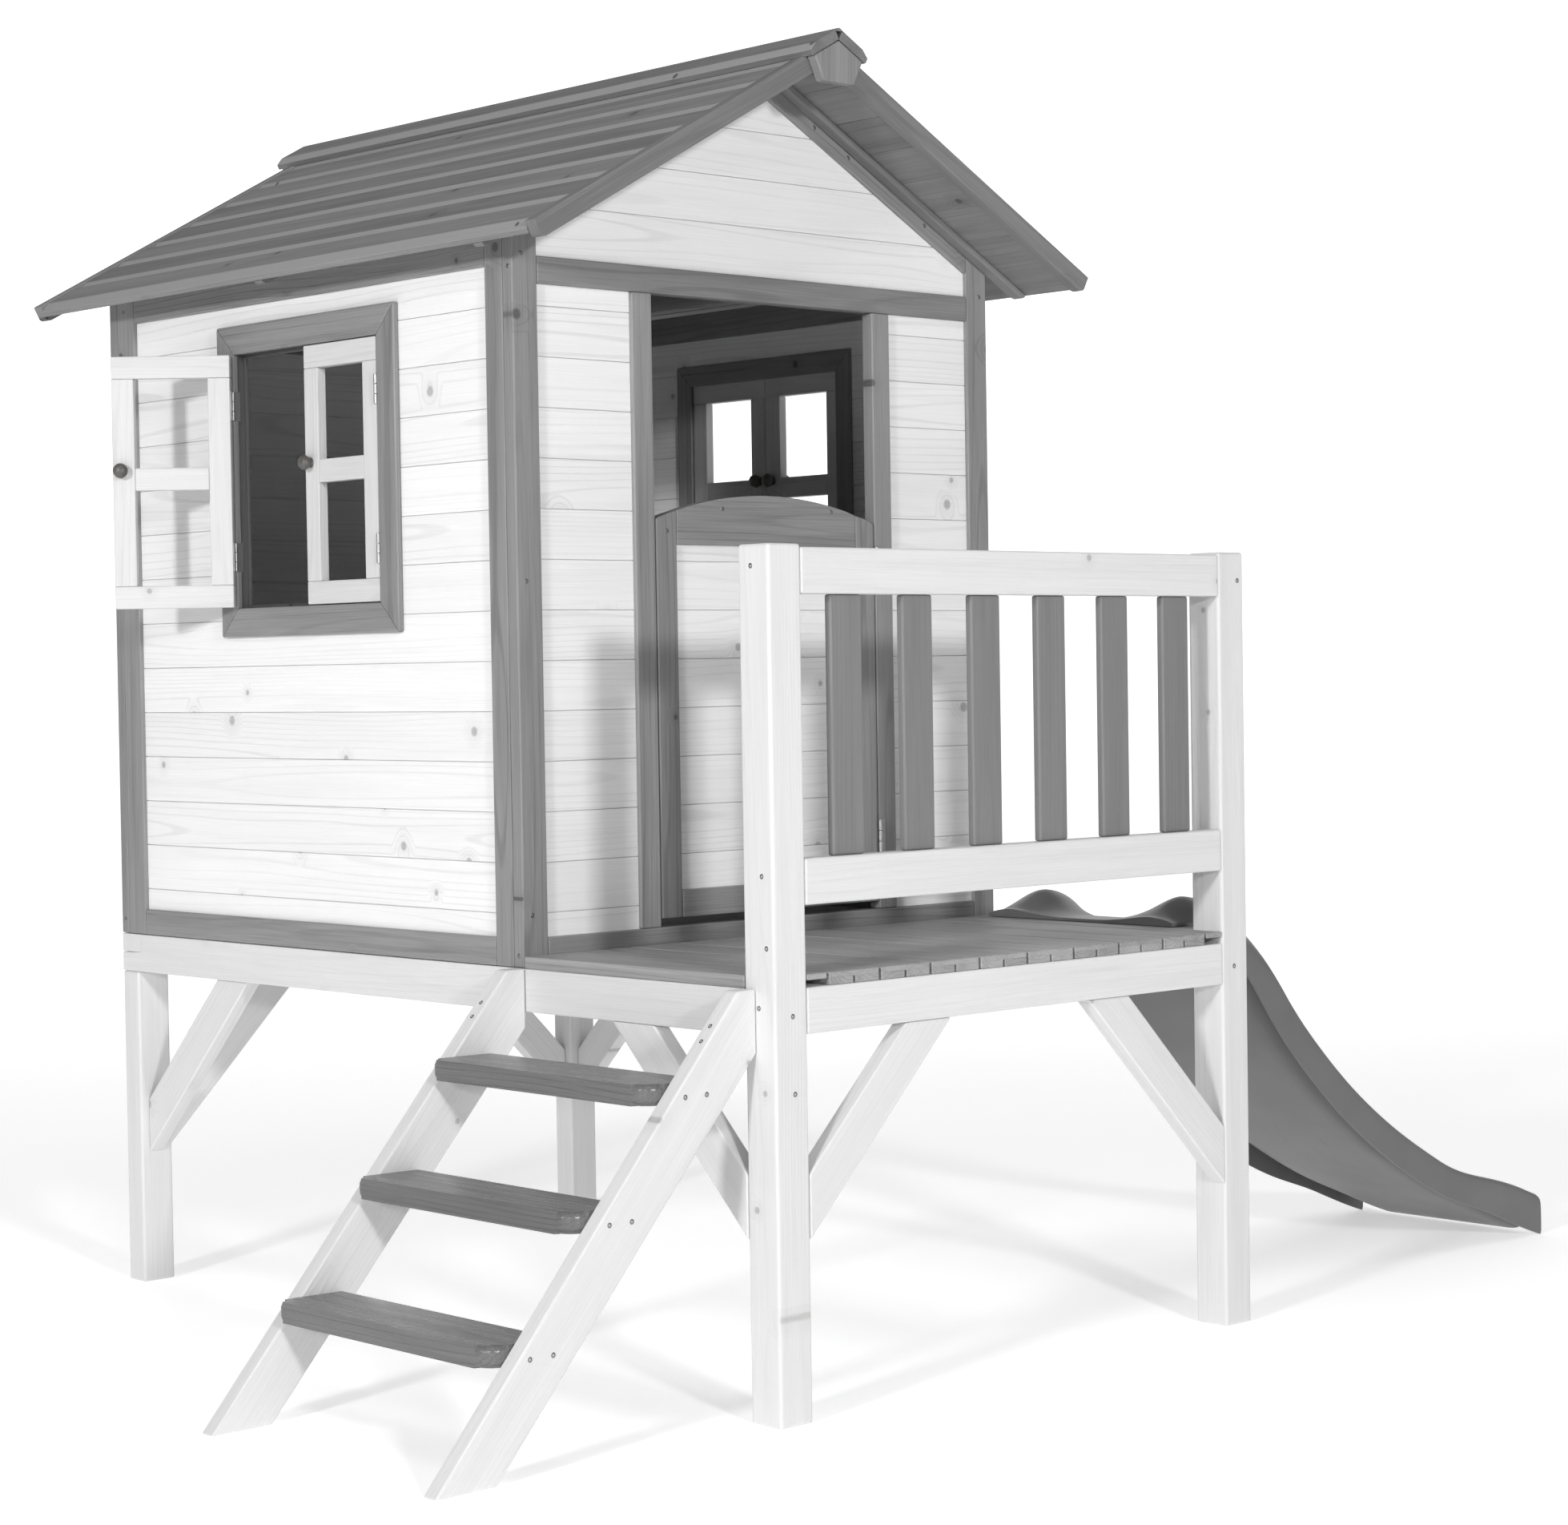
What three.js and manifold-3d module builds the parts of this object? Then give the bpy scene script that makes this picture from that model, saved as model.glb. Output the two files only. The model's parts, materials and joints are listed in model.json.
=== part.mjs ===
// Wooden playhouse on legs with a veranda, ladder and moulded slide.
// Millimetres, +Z up. House coordinates: X = 0 is the outer face of the ladder-side wall,
// Y = 0 the outer face of the door wall, Z = 0 the ground. The root group shifts everything
// so that the frame origin is the bottom centre of the whole playhouse.
import * as THREE from "three";
import Module from "manifold-3d";
import { mergeVertices } from "three/addons/utils/BufferGeometryUtils.js";

const wasm = await Module();
wasm.setup();

// ---------------------------------------------------------------- driving dimensions
const GAP = 0.3; // clearance between touching pieces
const HOUSE_W = 948; // house width, X
const HOUSE_D = 1039; // house depth, Y
const VERANDA_D = 509; // veranda depth in front of the door wall
const POST = 57; // square posts and legs
const LEG_D = 45; // depth of the two rear legs along Y
const POST_TOP = 1131;
const BEAM_BOTTOM = 502;
const BEAM_TOP = 562;
const BEAM_W = 54;
const DECK_TOP = 579;
const DECK_BOARD = 94.8; // pitch of the ten veranda boards
const DECK_SLOT = 1.6;

const WALL_Z = 563; // underside of the wall panels
const WALL_T = 22; // wall frame thickness
const CLAD_IN = 7; // cladding is set back this far from the frame face
const CLAD_T = 10;
const STILE = 44; // width of wall frame members
const SILL_TOP = 603;
const RAIL_LOW = 1511; // rail across the top of the door opening
const RAIL_HIGH = 1549;
const SIDE_CLAD_TOP = 1537;
const SIDE_TOP = 1583;
const JAMB_W = 37;
const DOOR_X0 = 253; // door opening
const DOOR_X1 = 695;

const DOOR_GAP = 2;
const DOOR_BOTTOM = 615;
const DOOR_SHOULDER = 1190;
const DOOR_ARCH = 1227;
const DOOR_T = 20;
const DOOR_FRAME = 39;

const WIN_Y0 = 316; // window opening in the side walls
const WIN_Y1 = 684;
const WIN_Z0 = 1077;
const WIN_Z1 = 1464;
const TRIM = 44;
const TRIM_OUT = 3; // the window trim stands proud of the wall face by this much
const SHUTTER_W = 181;
const SHUTTER_T = 16;
const SHUTTER_OUT = 2; // the closed shutters stand proud of the wall face by this much
const SHUTTER_BAR = 34;
const SHUTTER_SIDE_GAP = 1.5;
const HINGE_OUT = 4; // hinge line in front of the wall face
const OPEN_ANGLE = THREE.MathUtils.degToRad(133); // the shutter that stands open
const KNOB_R = 11.5;
const KNOB_STEM_R = 4;
const KNOB_OUT = 20;
const KNOB_INSET = 14;
const KNOB_RISE = 18; // knobs above the middle of the shutter
const MID_BAR_RISE = 5; // middle bars above the middle of the shutter

const ROOF_SLOPE = 0.547;
const ROOF_PEAK = 1873; // top surface of the roof boards at the ridge
const EAVE_OUT = 80; // eave overhang along X
const ROOF_BOARD_T = 18; // vertical thickness of the roof boards
const ROOF_RAFTER_T = 30; // vertical depth of boards and rafters together
const ROOF_BOARDS = 8;
const ROOF_GROOVE = 5;
const ROOF_Y0 = -147;
const ROOF_Y1 = 1141;
const RAFTER_W = 20;
const CAP_Y0 = -166;
const CAP_Y1 = 1168;
const CAP_HALF = 60;
const CAP_T = 17;
const FINIAL = [[-30, -62], [30, -62], [48, -27], [0, -1], [-48, -27]]; // from the ridge

const BRACE_T = 26;
const BRACE_SPAN = 85; // length of the square cut ends of each brace

const LADDER_Y0 = -474;
const LADDER_Y1 = 24;
const STRINGER_T = 26;
const FOOT_FRONT = -524;
const FOOT_BACK = -431;
const STRINGER_CUT = 480;
const STRINGER_FLAT = 31;
const TREAD_T = 28;
const TREAD_D = 104;
const TREAD_TOPS = [161, 307, 452];
const TREAD_HOUSING = 6;
const TREAD_NOSE = 13; // how far the treads reach out in front of the stringers
const TREAD_ROUND = 22;

const RAIL_T = 28;
const RAIL_H = 60;
const RAIL_UPPER_TOP = 1127;
const RAIL_LOWER_TOP = 728;
const SLATS = 6;
const SLAT_W = 57;
const SLAT_PITCH = 131.8;
const SLAT_T = 12;

const SLIDE_Y0 = -402;
const SLIDE_Y1 = -28;
const SLIDE_T = 4;
const SLIDE_WALL = 34; // height of the side walls above the floor of the slide
const SLIDE_END_WALL = 56; // the same where the slide runs out on the ground
const SLIDE_SKIRT = 18; // depth of the skirt below the floor of the slide
const SLIDE_END_X = 1853;
const SLIDE_LIP_X = 906;
const SLIDE_CORNER = [32, 26]; // length and drop of the rounded end of each side wall
const SLIDE_STEPS = 56;
// half sections of the channel: distance in from the outer edge, share of the wall height.
// the lip has wide rolled humps, the run has upright walls; the first turns into the second
const SLIDE_LIP_SHAPE = [[0, 0.15], [18, 0.75], [42, 1], [62, 0.9], [100, 0.35], [140, 0]];
const SLIDE_RUN_SHAPE = [[0, 0.82], [6, 1], [16, 1], [22, 0.85], [46, 0.12], [60, 0]];
// centre line of the slide floor, X and Z
const SLIDE_PATH = [
  [906, 584], [940, 584], [975, 583], [1005, 578], [1032, 566], [1062, 542], [1103, 498],
  [1169, 415], [1236, 346], [1320, 273], [1413, 207], [1509, 151], [1615, 98], [1725, 54],
  [1800, 25], [1853, 7],
];

const MID_X = HOUSE_W / 2;
const EAVE_Z = ROOF_PEAK - ROOF_SLOPE * (MID_X + EAVE_OUT);
const SHIFT_X = -(FOOT_FRONT + SLIDE_END_X) / 2;
const SHIFT_Y = -(CAP_Y1 - VERANDA_D) / 2;

// ---------------------------------------------------------------- materials and root
const finish = (color, roughness) => new THREE.MeshStandardMaterial({ color, roughness, metalness: 0 });
const WHITE_WOOD = finish(0xe9e7e2, 0.7);
const GREY_WOOD = finish(0x8c8c8a, 0.7);
const ROOF_WOOD = finish(0x6c6c6a, 0.75);
const DECK_WOOD = finish(0x7a7a78, 0.75);
const PLASTIC = finish(0x6b6c6e, 0.4);
const KNOB_WOOD = finish(0x6a645a, 0.5);
const STEEL = new THREE.MeshStandardMaterial({ color: 0xb5b6b8, roughness: 0.35, metalness: 1 });

const playhouse = new THREE.Group();
playhouse.name = "playhouse";
playhouse.position.set(SHIFT_X, SHIFT_Y, 0);

function add(name, geometry, material) {
  const mesh = new THREE.Mesh(geometry, material);
  mesh.name = name;
  playhouse.add(mesh);
  return mesh;
}

// ---------------------------------------------------------------- solids
const AXIS_X = new THREE.Vector3(1, 0, 0);
const AXIS_Y = new THREE.Vector3(0, 1, 0);
const AXIS_Z = new THREE.Vector3(0, 0, 1);

function block(x0, x1, y0, y1, z0, z1) {
  const geometry = new THREE.BoxGeometry(x1 - x0, y1 - y0, z1 - z0);
  geometry.translate((x0 + x1) / 2, (y0 + y1) / 2, (z0 + z1) / 2);
  return geometry;
}

function extrude(points, depth) {
  const shape = new THREE.Shape(points.map(([a, b]) => new THREE.Vector2(a, b)));
  return new THREE.ExtrudeGeometry(shape, { depth, bevelEnabled: false });
}

// outline in X and Z, pushed along Y
function slabY(points, y0, y1, holes = []) {
  const geometry = extrude(points, y1 - y0);
  geometry.applyMatrix4(new THREE.Matrix4().makeBasis(AXIS_X, AXIS_Z, AXIS_Y.clone().negate()));
  geometry.translate(0, y1, 0);
  return holes.length ? cut(geometry, holes.map((hole) => slabY(hole, y0 - 1, y1 + 1))) : geometry;
}

// outline in Y and Z, pushed along X
function slabX(points, x0, x1, holes = []) {
  const geometry = extrude(points, x1 - x0);
  geometry.applyMatrix4(new THREE.Matrix4().makeBasis(AXIS_Y, AXIS_Z, AXIS_X));
  geometry.translate(x0, 0, 0);
  return holes.length ? cut(geometry, holes.map((hole) => slabX(hole, x0 - 1, x1 + 1))) : geometry;
}

// outline in X and Y, pushed along Z
function slabZ(points, z0, z1) {
  const geometry = extrude(points, z1 - z0);
  geometry.translate(0, 0, z0);
  return geometry;
}

function rectangle(a0, a1, b0, b1) {
  return [[a0, b0], [a1, b0], [a1, b1], [a0, b1]];
}

function circle(a, b, radius, sides) {
  const points = [];
  for (let i = 0; i < sides; i += 1) {
    const angle = (2 * Math.PI * i) / sides;
    points.push([a + radius * Math.cos(angle), b + radius * Math.sin(angle)]);
  }
  return points;
}

function toManifold(geometry) {
  const bare = new THREE.BufferGeometry();
  bare.setAttribute("position", geometry.getAttribute("position"));
  if (geometry.index) {
    bare.setIndex(geometry.index);
  }
  const welded = mergeVertices(bare, 1e-4);
  return new wasm.Manifold(new wasm.Mesh({
    numProp: 3,
    vertProperties: new Float32Array(welded.getAttribute("position").array),
    triVerts: new Uint32Array(welded.index.array),
  }));
}

function fromManifold(solid) {
  const mesh = solid.getMesh();
  const geometry = new THREE.BufferGeometry();
  geometry.setAttribute("position", new THREE.BufferAttribute(mesh.vertProperties, 3));
  geometry.setIndex(new THREE.BufferAttribute(mesh.triVerts, 1));
  geometry.computeVertexNormals();
  return geometry;
}

function join(geometries) {
  return fromManifold(geometries.map(toManifold).reduce((whole, piece) => whole.add(piece)));
}

function cut(geometry, tools) {
  const solid = tools.map(toManifold).reduce((whole, tool) => whole.subtract(tool), toManifold(geometry));
  return fromManifold(solid);
}

function mirrorX(points) {
  return points.map(([x, z]) => [HOUSE_W - x, z]).reverse();
}

// ---------------------------------------------------------------- posts and legs
const POST_Y0 = -VERANDA_D;
const POST_Y1 = POST_Y0 + POST;
const LEG_Y0 = HOUSE_D - LEG_D;
add("post_front_left", block(0, POST, POST_Y0, POST_Y1, 0, POST_TOP), WHITE_WOOD);
add("post_front_right", block(HOUSE_W - POST, HOUSE_W, POST_Y0, POST_Y1, 0, POST_TOP), WHITE_WOOD);
add("leg_back_left", block(0, POST, LEG_Y0, HOUSE_D, 0, BEAM_BOTTOM - GAP), WHITE_WOOD);
add("leg_back_right", block(HOUSE_W - POST, HOUSE_W, LEG_Y0, HOUSE_D, 0, BEAM_BOTTOM - GAP), WHITE_WOOD);

// ---------------------------------------------------------------- beams
// the side beams keep their lower half at the back corner, the back beam laps over them
const LAP_Z = (BEAM_BOTTOM + BEAM_TOP) / 2;
const LAP_Y = HOUSE_D - BEAM_W - GAP;
const sideBeam = [
  [0, BEAM_BOTTOM], [HOUSE_D, BEAM_BOTTOM], [HOUSE_D, LAP_Z], [LAP_Y, LAP_Z], [LAP_Y, BEAM_TOP],
  [0, BEAM_TOP],
];
add("beam_house_left", slabX(sideBeam, 0, BEAM_W), WHITE_WOOD);
add("beam_house_right", slabX(sideBeam, HOUSE_W - BEAM_W, HOUSE_W), WHITE_WOOD);
const LAP_X = BEAM_W + GAP;
const backBeam = [
  [LAP_X, BEAM_BOTTOM], [HOUSE_W - LAP_X, BEAM_BOTTOM], [HOUSE_W - LAP_X, LAP_Z + GAP],
  [HOUSE_W, LAP_Z + GAP], [HOUSE_W, BEAM_TOP], [0, BEAM_TOP], [0, LAP_Z + GAP], [LAP_X, LAP_Z + GAP],
];
add("beam_house_back", slabY(backBeam, HOUSE_D - BEAM_W, HOUSE_D), WHITE_WOOD);
const CROSS_X0 = BEAM_W + GAP;
const CROSS_X1 = HOUSE_W - BEAM_W - GAP;
add("beam_house_front", block(CROSS_X0, CROSS_X1, 0, BEAM_W, BEAM_BOTTOM, BEAM_TOP), WHITE_WOOD);
const JOIST_Y = (HOUSE_D - BEAM_W) / 2;
add("joist_house", block(CROSS_X0, CROSS_X1, JOIST_Y, JOIST_Y + BEAM_W, BEAM_BOTTOM, BEAM_TOP), WHITE_WOOD);
add("beam_veranda_left", block(0, BEAM_W, POST_Y1 + GAP, -GAP, BEAM_BOTTOM, BEAM_TOP), WHITE_WOOD);
add("beam_veranda_right",
  block(HOUSE_W - BEAM_W, HOUSE_W, POST_Y1 + GAP, -GAP, BEAM_BOTTOM, BEAM_TOP), WHITE_WOOD);
add("beam_veranda_front",
  block(POST + GAP, HOUSE_W - POST - GAP, POST_Y0, POST_Y0 + BEAM_W, BEAM_BOTTOM, BEAM_TOP), WHITE_WOOD);

// ---------------------------------------------------------------- braces
// a brace leaves a post face at one place and meets the beam underside; both ends are cut flush.
// start is the post face coordinate, way is +1 or -1 along the beam, reach the inner edge length
function braceOutline(start, way, reach) {
  const top = BEAM_BOTTOM - GAP;
  const face = start + way * GAP;
  const points = [
    [face, top - reach], [face, top - reach - BRACE_SPAN],
    [face + way * (reach + BRACE_SPAN), top], [face + way * reach, top],
  ];
  return way > 0 ? points : points.reverse();
}

const REACH_LEFT_POST = 180;
const REACH = 207;
const BACK_BRACE_IN = 14; // set-back of the rear braces from the leg face
const RIGHT_X0 = HOUSE_W - POST;
add("brace_front_left_side", slabX(braceOutline(POST_Y1, 1, REACH_LEFT_POST), 0, BRACE_T), WHITE_WOOD);
add("brace_front_left_front",
  slabY(braceOutline(POST, 1, REACH_LEFT_POST), POST_Y0, POST_Y0 + BRACE_T), WHITE_WOOD);
add("brace_front_right_side", slabX(braceOutline(POST_Y1, 1, REACH), HOUSE_W - BRACE_T, HOUSE_W), WHITE_WOOD);
add("brace_front_right_front",
  slabY(braceOutline(RIGHT_X0, -1, REACH), POST_Y0, POST_Y0 + BRACE_T), WHITE_WOOD);
add("brace_back_left_side",
  slabX(braceOutline(LEG_Y0, -1, REACH), BACK_BRACE_IN, BACK_BRACE_IN + BRACE_T), WHITE_WOOD);
const RIGHT_BRACE_X = HOUSE_W - BACK_BRACE_IN;
add("brace_back_right_side",
  slabX(braceOutline(LEG_Y0, -1, REACH), RIGHT_BRACE_X - BRACE_T, RIGHT_BRACE_X), WHITE_WOOD);
const BACK_BRACE_Y = HOUSE_D - BRACE_T - 6;
add("brace_back_left_back",
  slabY(braceOutline(POST, 1, REACH), BACK_BRACE_Y, BACK_BRACE_Y + BRACE_T), WHITE_WOOD);
add("brace_back_right_back",
  slabY(braceOutline(RIGHT_X0, -1, REACH), BACK_BRACE_Y, BACK_BRACE_Y + BRACE_T), WHITE_WOOD);

// ---------------------------------------------------------------- floor and veranda deck
const FLOOR_Z = BEAM_TOP + GAP;
const IN_X0 = WALL_T + GAP;
const IN_X1 = HOUSE_W - WALL_T - GAP;
const IN_Y0 = WALL_T + GAP;
const IN_Y1 = HOUSE_D - WALL_T - GAP;
add("floor_house", block(IN_X0, IN_X1, IN_Y0, IN_Y1, FLOOR_Z, DECK_TOP), DECK_WOOD);

function deckProfile() {
  const slotBottom = FLOOR_Z + 3;
  const top = [];
  const boards = Math.round(HOUSE_W / DECK_BOARD);
  for (let i = 1; i < boards; i += 1) {
    const x = i * DECK_BOARD;
    top.push([x - DECK_SLOT / 2, DECK_TOP], [x - DECK_SLOT / 2, slotBottom]);
    top.push([x + DECK_SLOT / 2, slotBottom], [x + DECK_SLOT / 2, DECK_TOP]);
  }
  return [[HOUSE_W, DECK_TOP], [HOUSE_W, FLOOR_Z], [0, FLOOR_Z], [0, DECK_TOP], ...top].reverse();
}
const NOTCH = POST + GAP;
add("deck_veranda", cut(slabY(deckProfile(), POST_Y0, -GAP), [
  block(-NOTCH, NOTCH, POST_Y0 - NOTCH, POST_Y1 + GAP, FLOOR_Z - 1, DECK_TOP + 1),
  block(HOUSE_W - NOTCH, HOUSE_W + NOTCH, POST_Y0 - NOTCH, POST_Y1 + GAP, FLOOR_Z - 1, DECK_TOP + 1),
]), DECK_WOOD);

// ---------------------------------------------------------------- railing
const RAIL_X0 = POST + GAP;
const RAIL_X1 = HOUSE_W - POST - GAP;
for (const [name, top] of [["rail_upper", RAIL_UPPER_TOP], ["rail_lower", RAIL_LOWER_TOP]]) {
  add(name, block(RAIL_X0, RAIL_X1, POST_Y0, POST_Y0 + RAIL_T, top - RAIL_H, top), WHITE_WOOD);
}
const SLAT_Z0 = RAIL_LOWER_TOP + GAP;
const SLAT_Z1 = RAIL_UPPER_TOP - RAIL_H - GAP;
for (let i = 0; i < SLATS; i += 1) {
  const x = MID_X + (i - (SLATS - 1) / 2) * SLAT_PITCH;
  const y = POST_Y0 + (RAIL_T - SLAT_T) / 2;
  add(`slat_${i + 1}`, block(x - SLAT_W / 2, x + SLAT_W / 2, y, y + SLAT_T, SLAT_Z0, SLAT_Z1), GREY_WOOD);
}

// ---------------------------------------------------------------- walls
const roofUnder = (x) => ROOF_PEAK - ROOF_BOARD_T - ROOF_SLOPE * Math.abs(x - MID_X);
const GABLE_CLEAR = 1;
const GABLE_MEMBER = 52; // vertical width of the sloping gable members

function gableOutline(inset) {
  const z0 = WALL_Z + inset;
  const eave = roofUnder(0) - GABLE_CLEAR - inset;
  const peak = roofUnder(MID_X) - GABLE_CLEAR - inset;
  return [[inset, z0], [HOUSE_W - inset, z0], [HOUSE_W - inset, eave], [MID_X, peak], [inset, eave]];
}

function gableTriangle() {
  const foot = STILE;
  const line = (x) => roofUnder(x) - GABLE_MEMBER + ROOF_BOARD_T;
  return [[foot, RAIL_HIGH], [HOUSE_W - foot, RAIL_HIGH], [HOUSE_W - foot, line(foot)],
    [MID_X, line(MID_X)], [foot, line(foot)]];
}

const jambOut0 = DOOR_X0 - JAMB_W;
const jambOut1 = DOOR_X1 + JAMB_W;
const doorHole = rectangle(DOOR_X0, DOOR_X1, SILL_TOP, RAIL_LOW);
const FRAME_INSET = 10;
add("wall_front", join([
  slabY(gableOutline(0), 0, WALL_T, [
    doorHole, gableTriangle(),
    rectangle(STILE, jambOut0, SILL_TOP, RAIL_LOW), rectangle(jambOut1, HOUSE_W - STILE, SILL_TOP, RAIL_LOW),
  ]),
  slabY(gableOutline(FRAME_INSET), CLAD_IN, CLAD_IN + CLAD_T, [doorHole]),
]), WHITE_WOOD);
add("wall_back", join([
  slabY(gableOutline(0), HOUSE_D - WALL_T, HOUSE_D, [
    gableTriangle(), rectangle(STILE, HOUSE_W - STILE, SILL_TOP, RAIL_LOW),
  ]),
  slabY(gableOutline(FRAME_INSET), HOUSE_D - CLAD_IN - CLAD_T, HOUSE_D - CLAD_IN),
]), WHITE_WOOD);

// side walls fit between the door wall and the back wall; face is the outer face, inward the way in
const windowHole = rectangle(WIN_Y0, WIN_Y1, WIN_Z0, WIN_Z1);
const windowOuter = rectangle(WIN_Y0 - TRIM, WIN_Y1 + TRIM, WIN_Z0 - TRIM, WIN_Z1 + TRIM);

function layer(points, face, inward, near, far, holes) {
  const a = face + inward * near;
  const b = face + inward * far;
  return slabX(points, Math.min(a, b), Math.max(a, b), holes);
}

function sideWall(face, inward) {
  const y0 = WALL_T + GAP;
  const y1 = HOUSE_D - WALL_T - GAP;
  return join([
    layer(rectangle(y0, y1, WALL_Z, SIDE_TOP), face, inward, 0, WALL_T,
      [rectangle(y0 + STILE - 4, y1 - STILE - 4, SILL_TOP, SIDE_CLAD_TOP)]),
    layer(rectangle(y0 + FRAME_INSET, y1 - FRAME_INSET, WALL_Z + FRAME_INSET, SIDE_TOP - FRAME_INSET),
      face, inward, CLAD_IN, CLAD_IN + CLAD_T, [windowHole]),
    layer(windowOuter, face, inward, CLAD_IN + 2, WALL_T, [windowHole]),
  ]);
}
add("wall_left", sideWall(0, 1), WHITE_WOOD);
add("wall_right", sideWall(HOUSE_W, -1), WHITE_WOOD);
add("window_trim_left", layer(windowOuter, 0, 1, -TRIM_OUT, CLAD_IN - GAP, [windowHole]), GREY_WOOD);
add("window_trim_right", layer(windowOuter, HOUSE_W, -1, -TRIM_OUT, CLAD_IN - GAP, [windowHole]), GREY_WOOD);

// ---------------------------------------------------------------- shutters and knobs
// built closed beside the hinge line: local Y runs from the hinge edge to the free edge,
// local X points into the house, the origin lies on the hinge line at the shutter's foot
const SHUTTER_H = WIN_Z1 - WIN_Z0 - 2 * SHUTTER_SIDE_GAP;
const KNOB_Z = SHUTTER_H / 2 + KNOB_RISE;
const SHUTTER_X0 = HINGE_OUT - SHUTTER_OUT;

function shutterGeometry() {
  const y0 = SHUTTER_SIDE_GAP;
  const y1 = y0 + SHUTTER_W;
  const paneY0 = y0 + SHUTTER_BAR;
  const paneY1 = y1 - SHUTTER_BAR;
  const midLow = SHUTTER_H / 2 + MID_BAR_RISE - SHUTTER_BAR / 2;
  const midHigh = midLow + SHUTTER_BAR;
  return slabX(rectangle(y0, y1, 0, SHUTTER_H), SHUTTER_X0, SHUTTER_X0 + SHUTTER_T, [
    rectangle(paneY0, paneY1, SHUTTER_BAR, midLow),
    rectangle(paneY0, paneY1, midHigh, SHUTTER_H - SHUTTER_BAR),
    circle(y1 - KNOB_INSET, KNOB_Z, KNOB_STEM_R + GAP, 16),
  ]);
}

function knobGeometry() {
  const half = SHUTTER_T / 2 + GAP;
  const tip = SHUTTER_T / 2 + KNOB_OUT;
  const side = [
    [0, tip], [KNOB_R * 0.55, tip - 1.5], [KNOB_R * 0.9, tip - 5], [KNOB_R, tip - 9],
    [KNOB_R * 0.85, tip - 13], [KNOB_STEM_R + 2, tip - 16], [KNOB_STEM_R + 2, half], [KNOB_STEM_R, half],
  ];
  const profile = [...side.map(([r, h]) => [r, h]), ...side.map(([r, h]) => [r, -h]).reverse()];
  const points = profile.reverse().map(([r, h]) => new THREE.Vector2(r, h));
  const geometry = new THREE.LatheGeometry(points, 20);
  geometry.rotateZ(-Math.PI / 2);
  geometry.translate(SHUTTER_X0 + SHUTTER_T / 2, SHUTTER_SIDE_GAP + SHUTTER_W - KNOB_INSET, KNOB_Z);
  return geometry;
}

// inward is +1 on the left wall, -1 on the right; away is +1 when the shutter runs towards +Y
function hangShutter(name, face, inward, hingeY, away, open) {
  for (const [suffix, geometry, material] of [
    ["", shutterGeometry(), WHITE_WOOD], ["_knob", knobGeometry(), KNOB_WOOD],
  ]) {
    const mirrored = inward * away < 0;
    if (mirrored) {
      geometry.scale(1, -1, 1);
      flipFaces(geometry);
    }
    const mesh = add(`${name}${suffix}`, geometry, material);
    mesh.position.set(face - inward * HINGE_OUT, hingeY, WIN_Z0 + SHUTTER_SIDE_GAP);
    const base = inward > 0 ? 0 : Math.PI;
    mesh.rotation.z = base + open * inward * away;
  }
}

function flipFaces(geometry) {
  if (geometry.index) {
    const index = geometry.index.array;
    for (let i = 0; i < index.length; i += 3) {
      [index[i], index[i + 1]] = [index[i + 1], index[i]];
    }
    return;
  }
  const position = geometry.getAttribute("position");
  const swap = new THREE.Vector3();
  const other = new THREE.Vector3();
  for (let i = 0; i < position.count; i += 3) {
    swap.fromBufferAttribute(position, i);
    other.fromBufferAttribute(position, i + 1);
    position.setXYZ(i, other.x, other.y, other.z);
    position.setXYZ(i + 1, swap.x, swap.y, swap.z);
  }
}
hangShutter("shutter_left_front", 0, 1, WIN_Y0, 1, 0);
hangShutter("shutter_left_back", 0, 1, WIN_Y1, -1, OPEN_ANGLE);
hangShutter("shutter_right_front", HOUSE_W, -1, WIN_Y0, 1, 0);
hangShutter("shutter_right_back", HOUSE_W, -1, WIN_Y1, -1, 0);

// ---------------------------------------------------------------- half door and its hinges
const LEAF_X0 = DOOR_X0 + DOOR_GAP;
const LEAF_X1 = DOOR_X1 - DOOR_GAP;

function doorOutline() {
  const points = [[LEAF_X0, DOOR_BOTTOM], [LEAF_X1, DOOR_BOTTOM]];
  const steps = 16;
  const half = (LEAF_X1 - LEAF_X0) / 2;
  const rise = DOOR_ARCH - DOOR_SHOULDER;
  const radius = (half * half + rise * rise) / (2 * rise);
  const centreX = (LEAF_X0 + LEAF_X1) / 2;
  const span = Math.asin(half / radius);
  for (let i = 0; i <= steps; i += 1) {
    const angle = span - (2 * span * i) / steps;
    points.push([centreX + radius * Math.sin(angle), DOOR_ARCH - radius + radius * Math.cos(angle)]);
  }
  return points;
}
const PANEL_TOP = 1153;
const PANEL_BOTTOM = 655;
const LEAF_CLAD = 6;
add("door_leaf", join([
  slabY(doorOutline(), 0, DOOR_T,
    [rectangle(LEAF_X0 + DOOR_FRAME, LEAF_X1 - DOOR_FRAME, PANEL_BOTTOM, PANEL_TOP)]),
  slabY(rectangle(LEAF_X0 + DOOR_GAP, LEAF_X1 - DOOR_GAP, DOOR_BOTTOM + DOOR_GAP, PANEL_TOP + DOOR_GAP),
    LEAF_CLAD, LEAF_CLAD + 8),
]), WHITE_WOOD);
const HINGE_R = 4;
const HINGE_H = 50;
const HINGE_Y = -HINGE_R - GAP;
for (const [name, z] of [["door_hinge_lower", 690], ["door_hinge_upper", 1105]]) {
  const geometry = slabZ(circle(DOOR_X1 - DOOR_GAP / 2, HINGE_Y, HINGE_R, 16), z, z + HINGE_H);
  add(name, geometry, STEEL);
}

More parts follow.
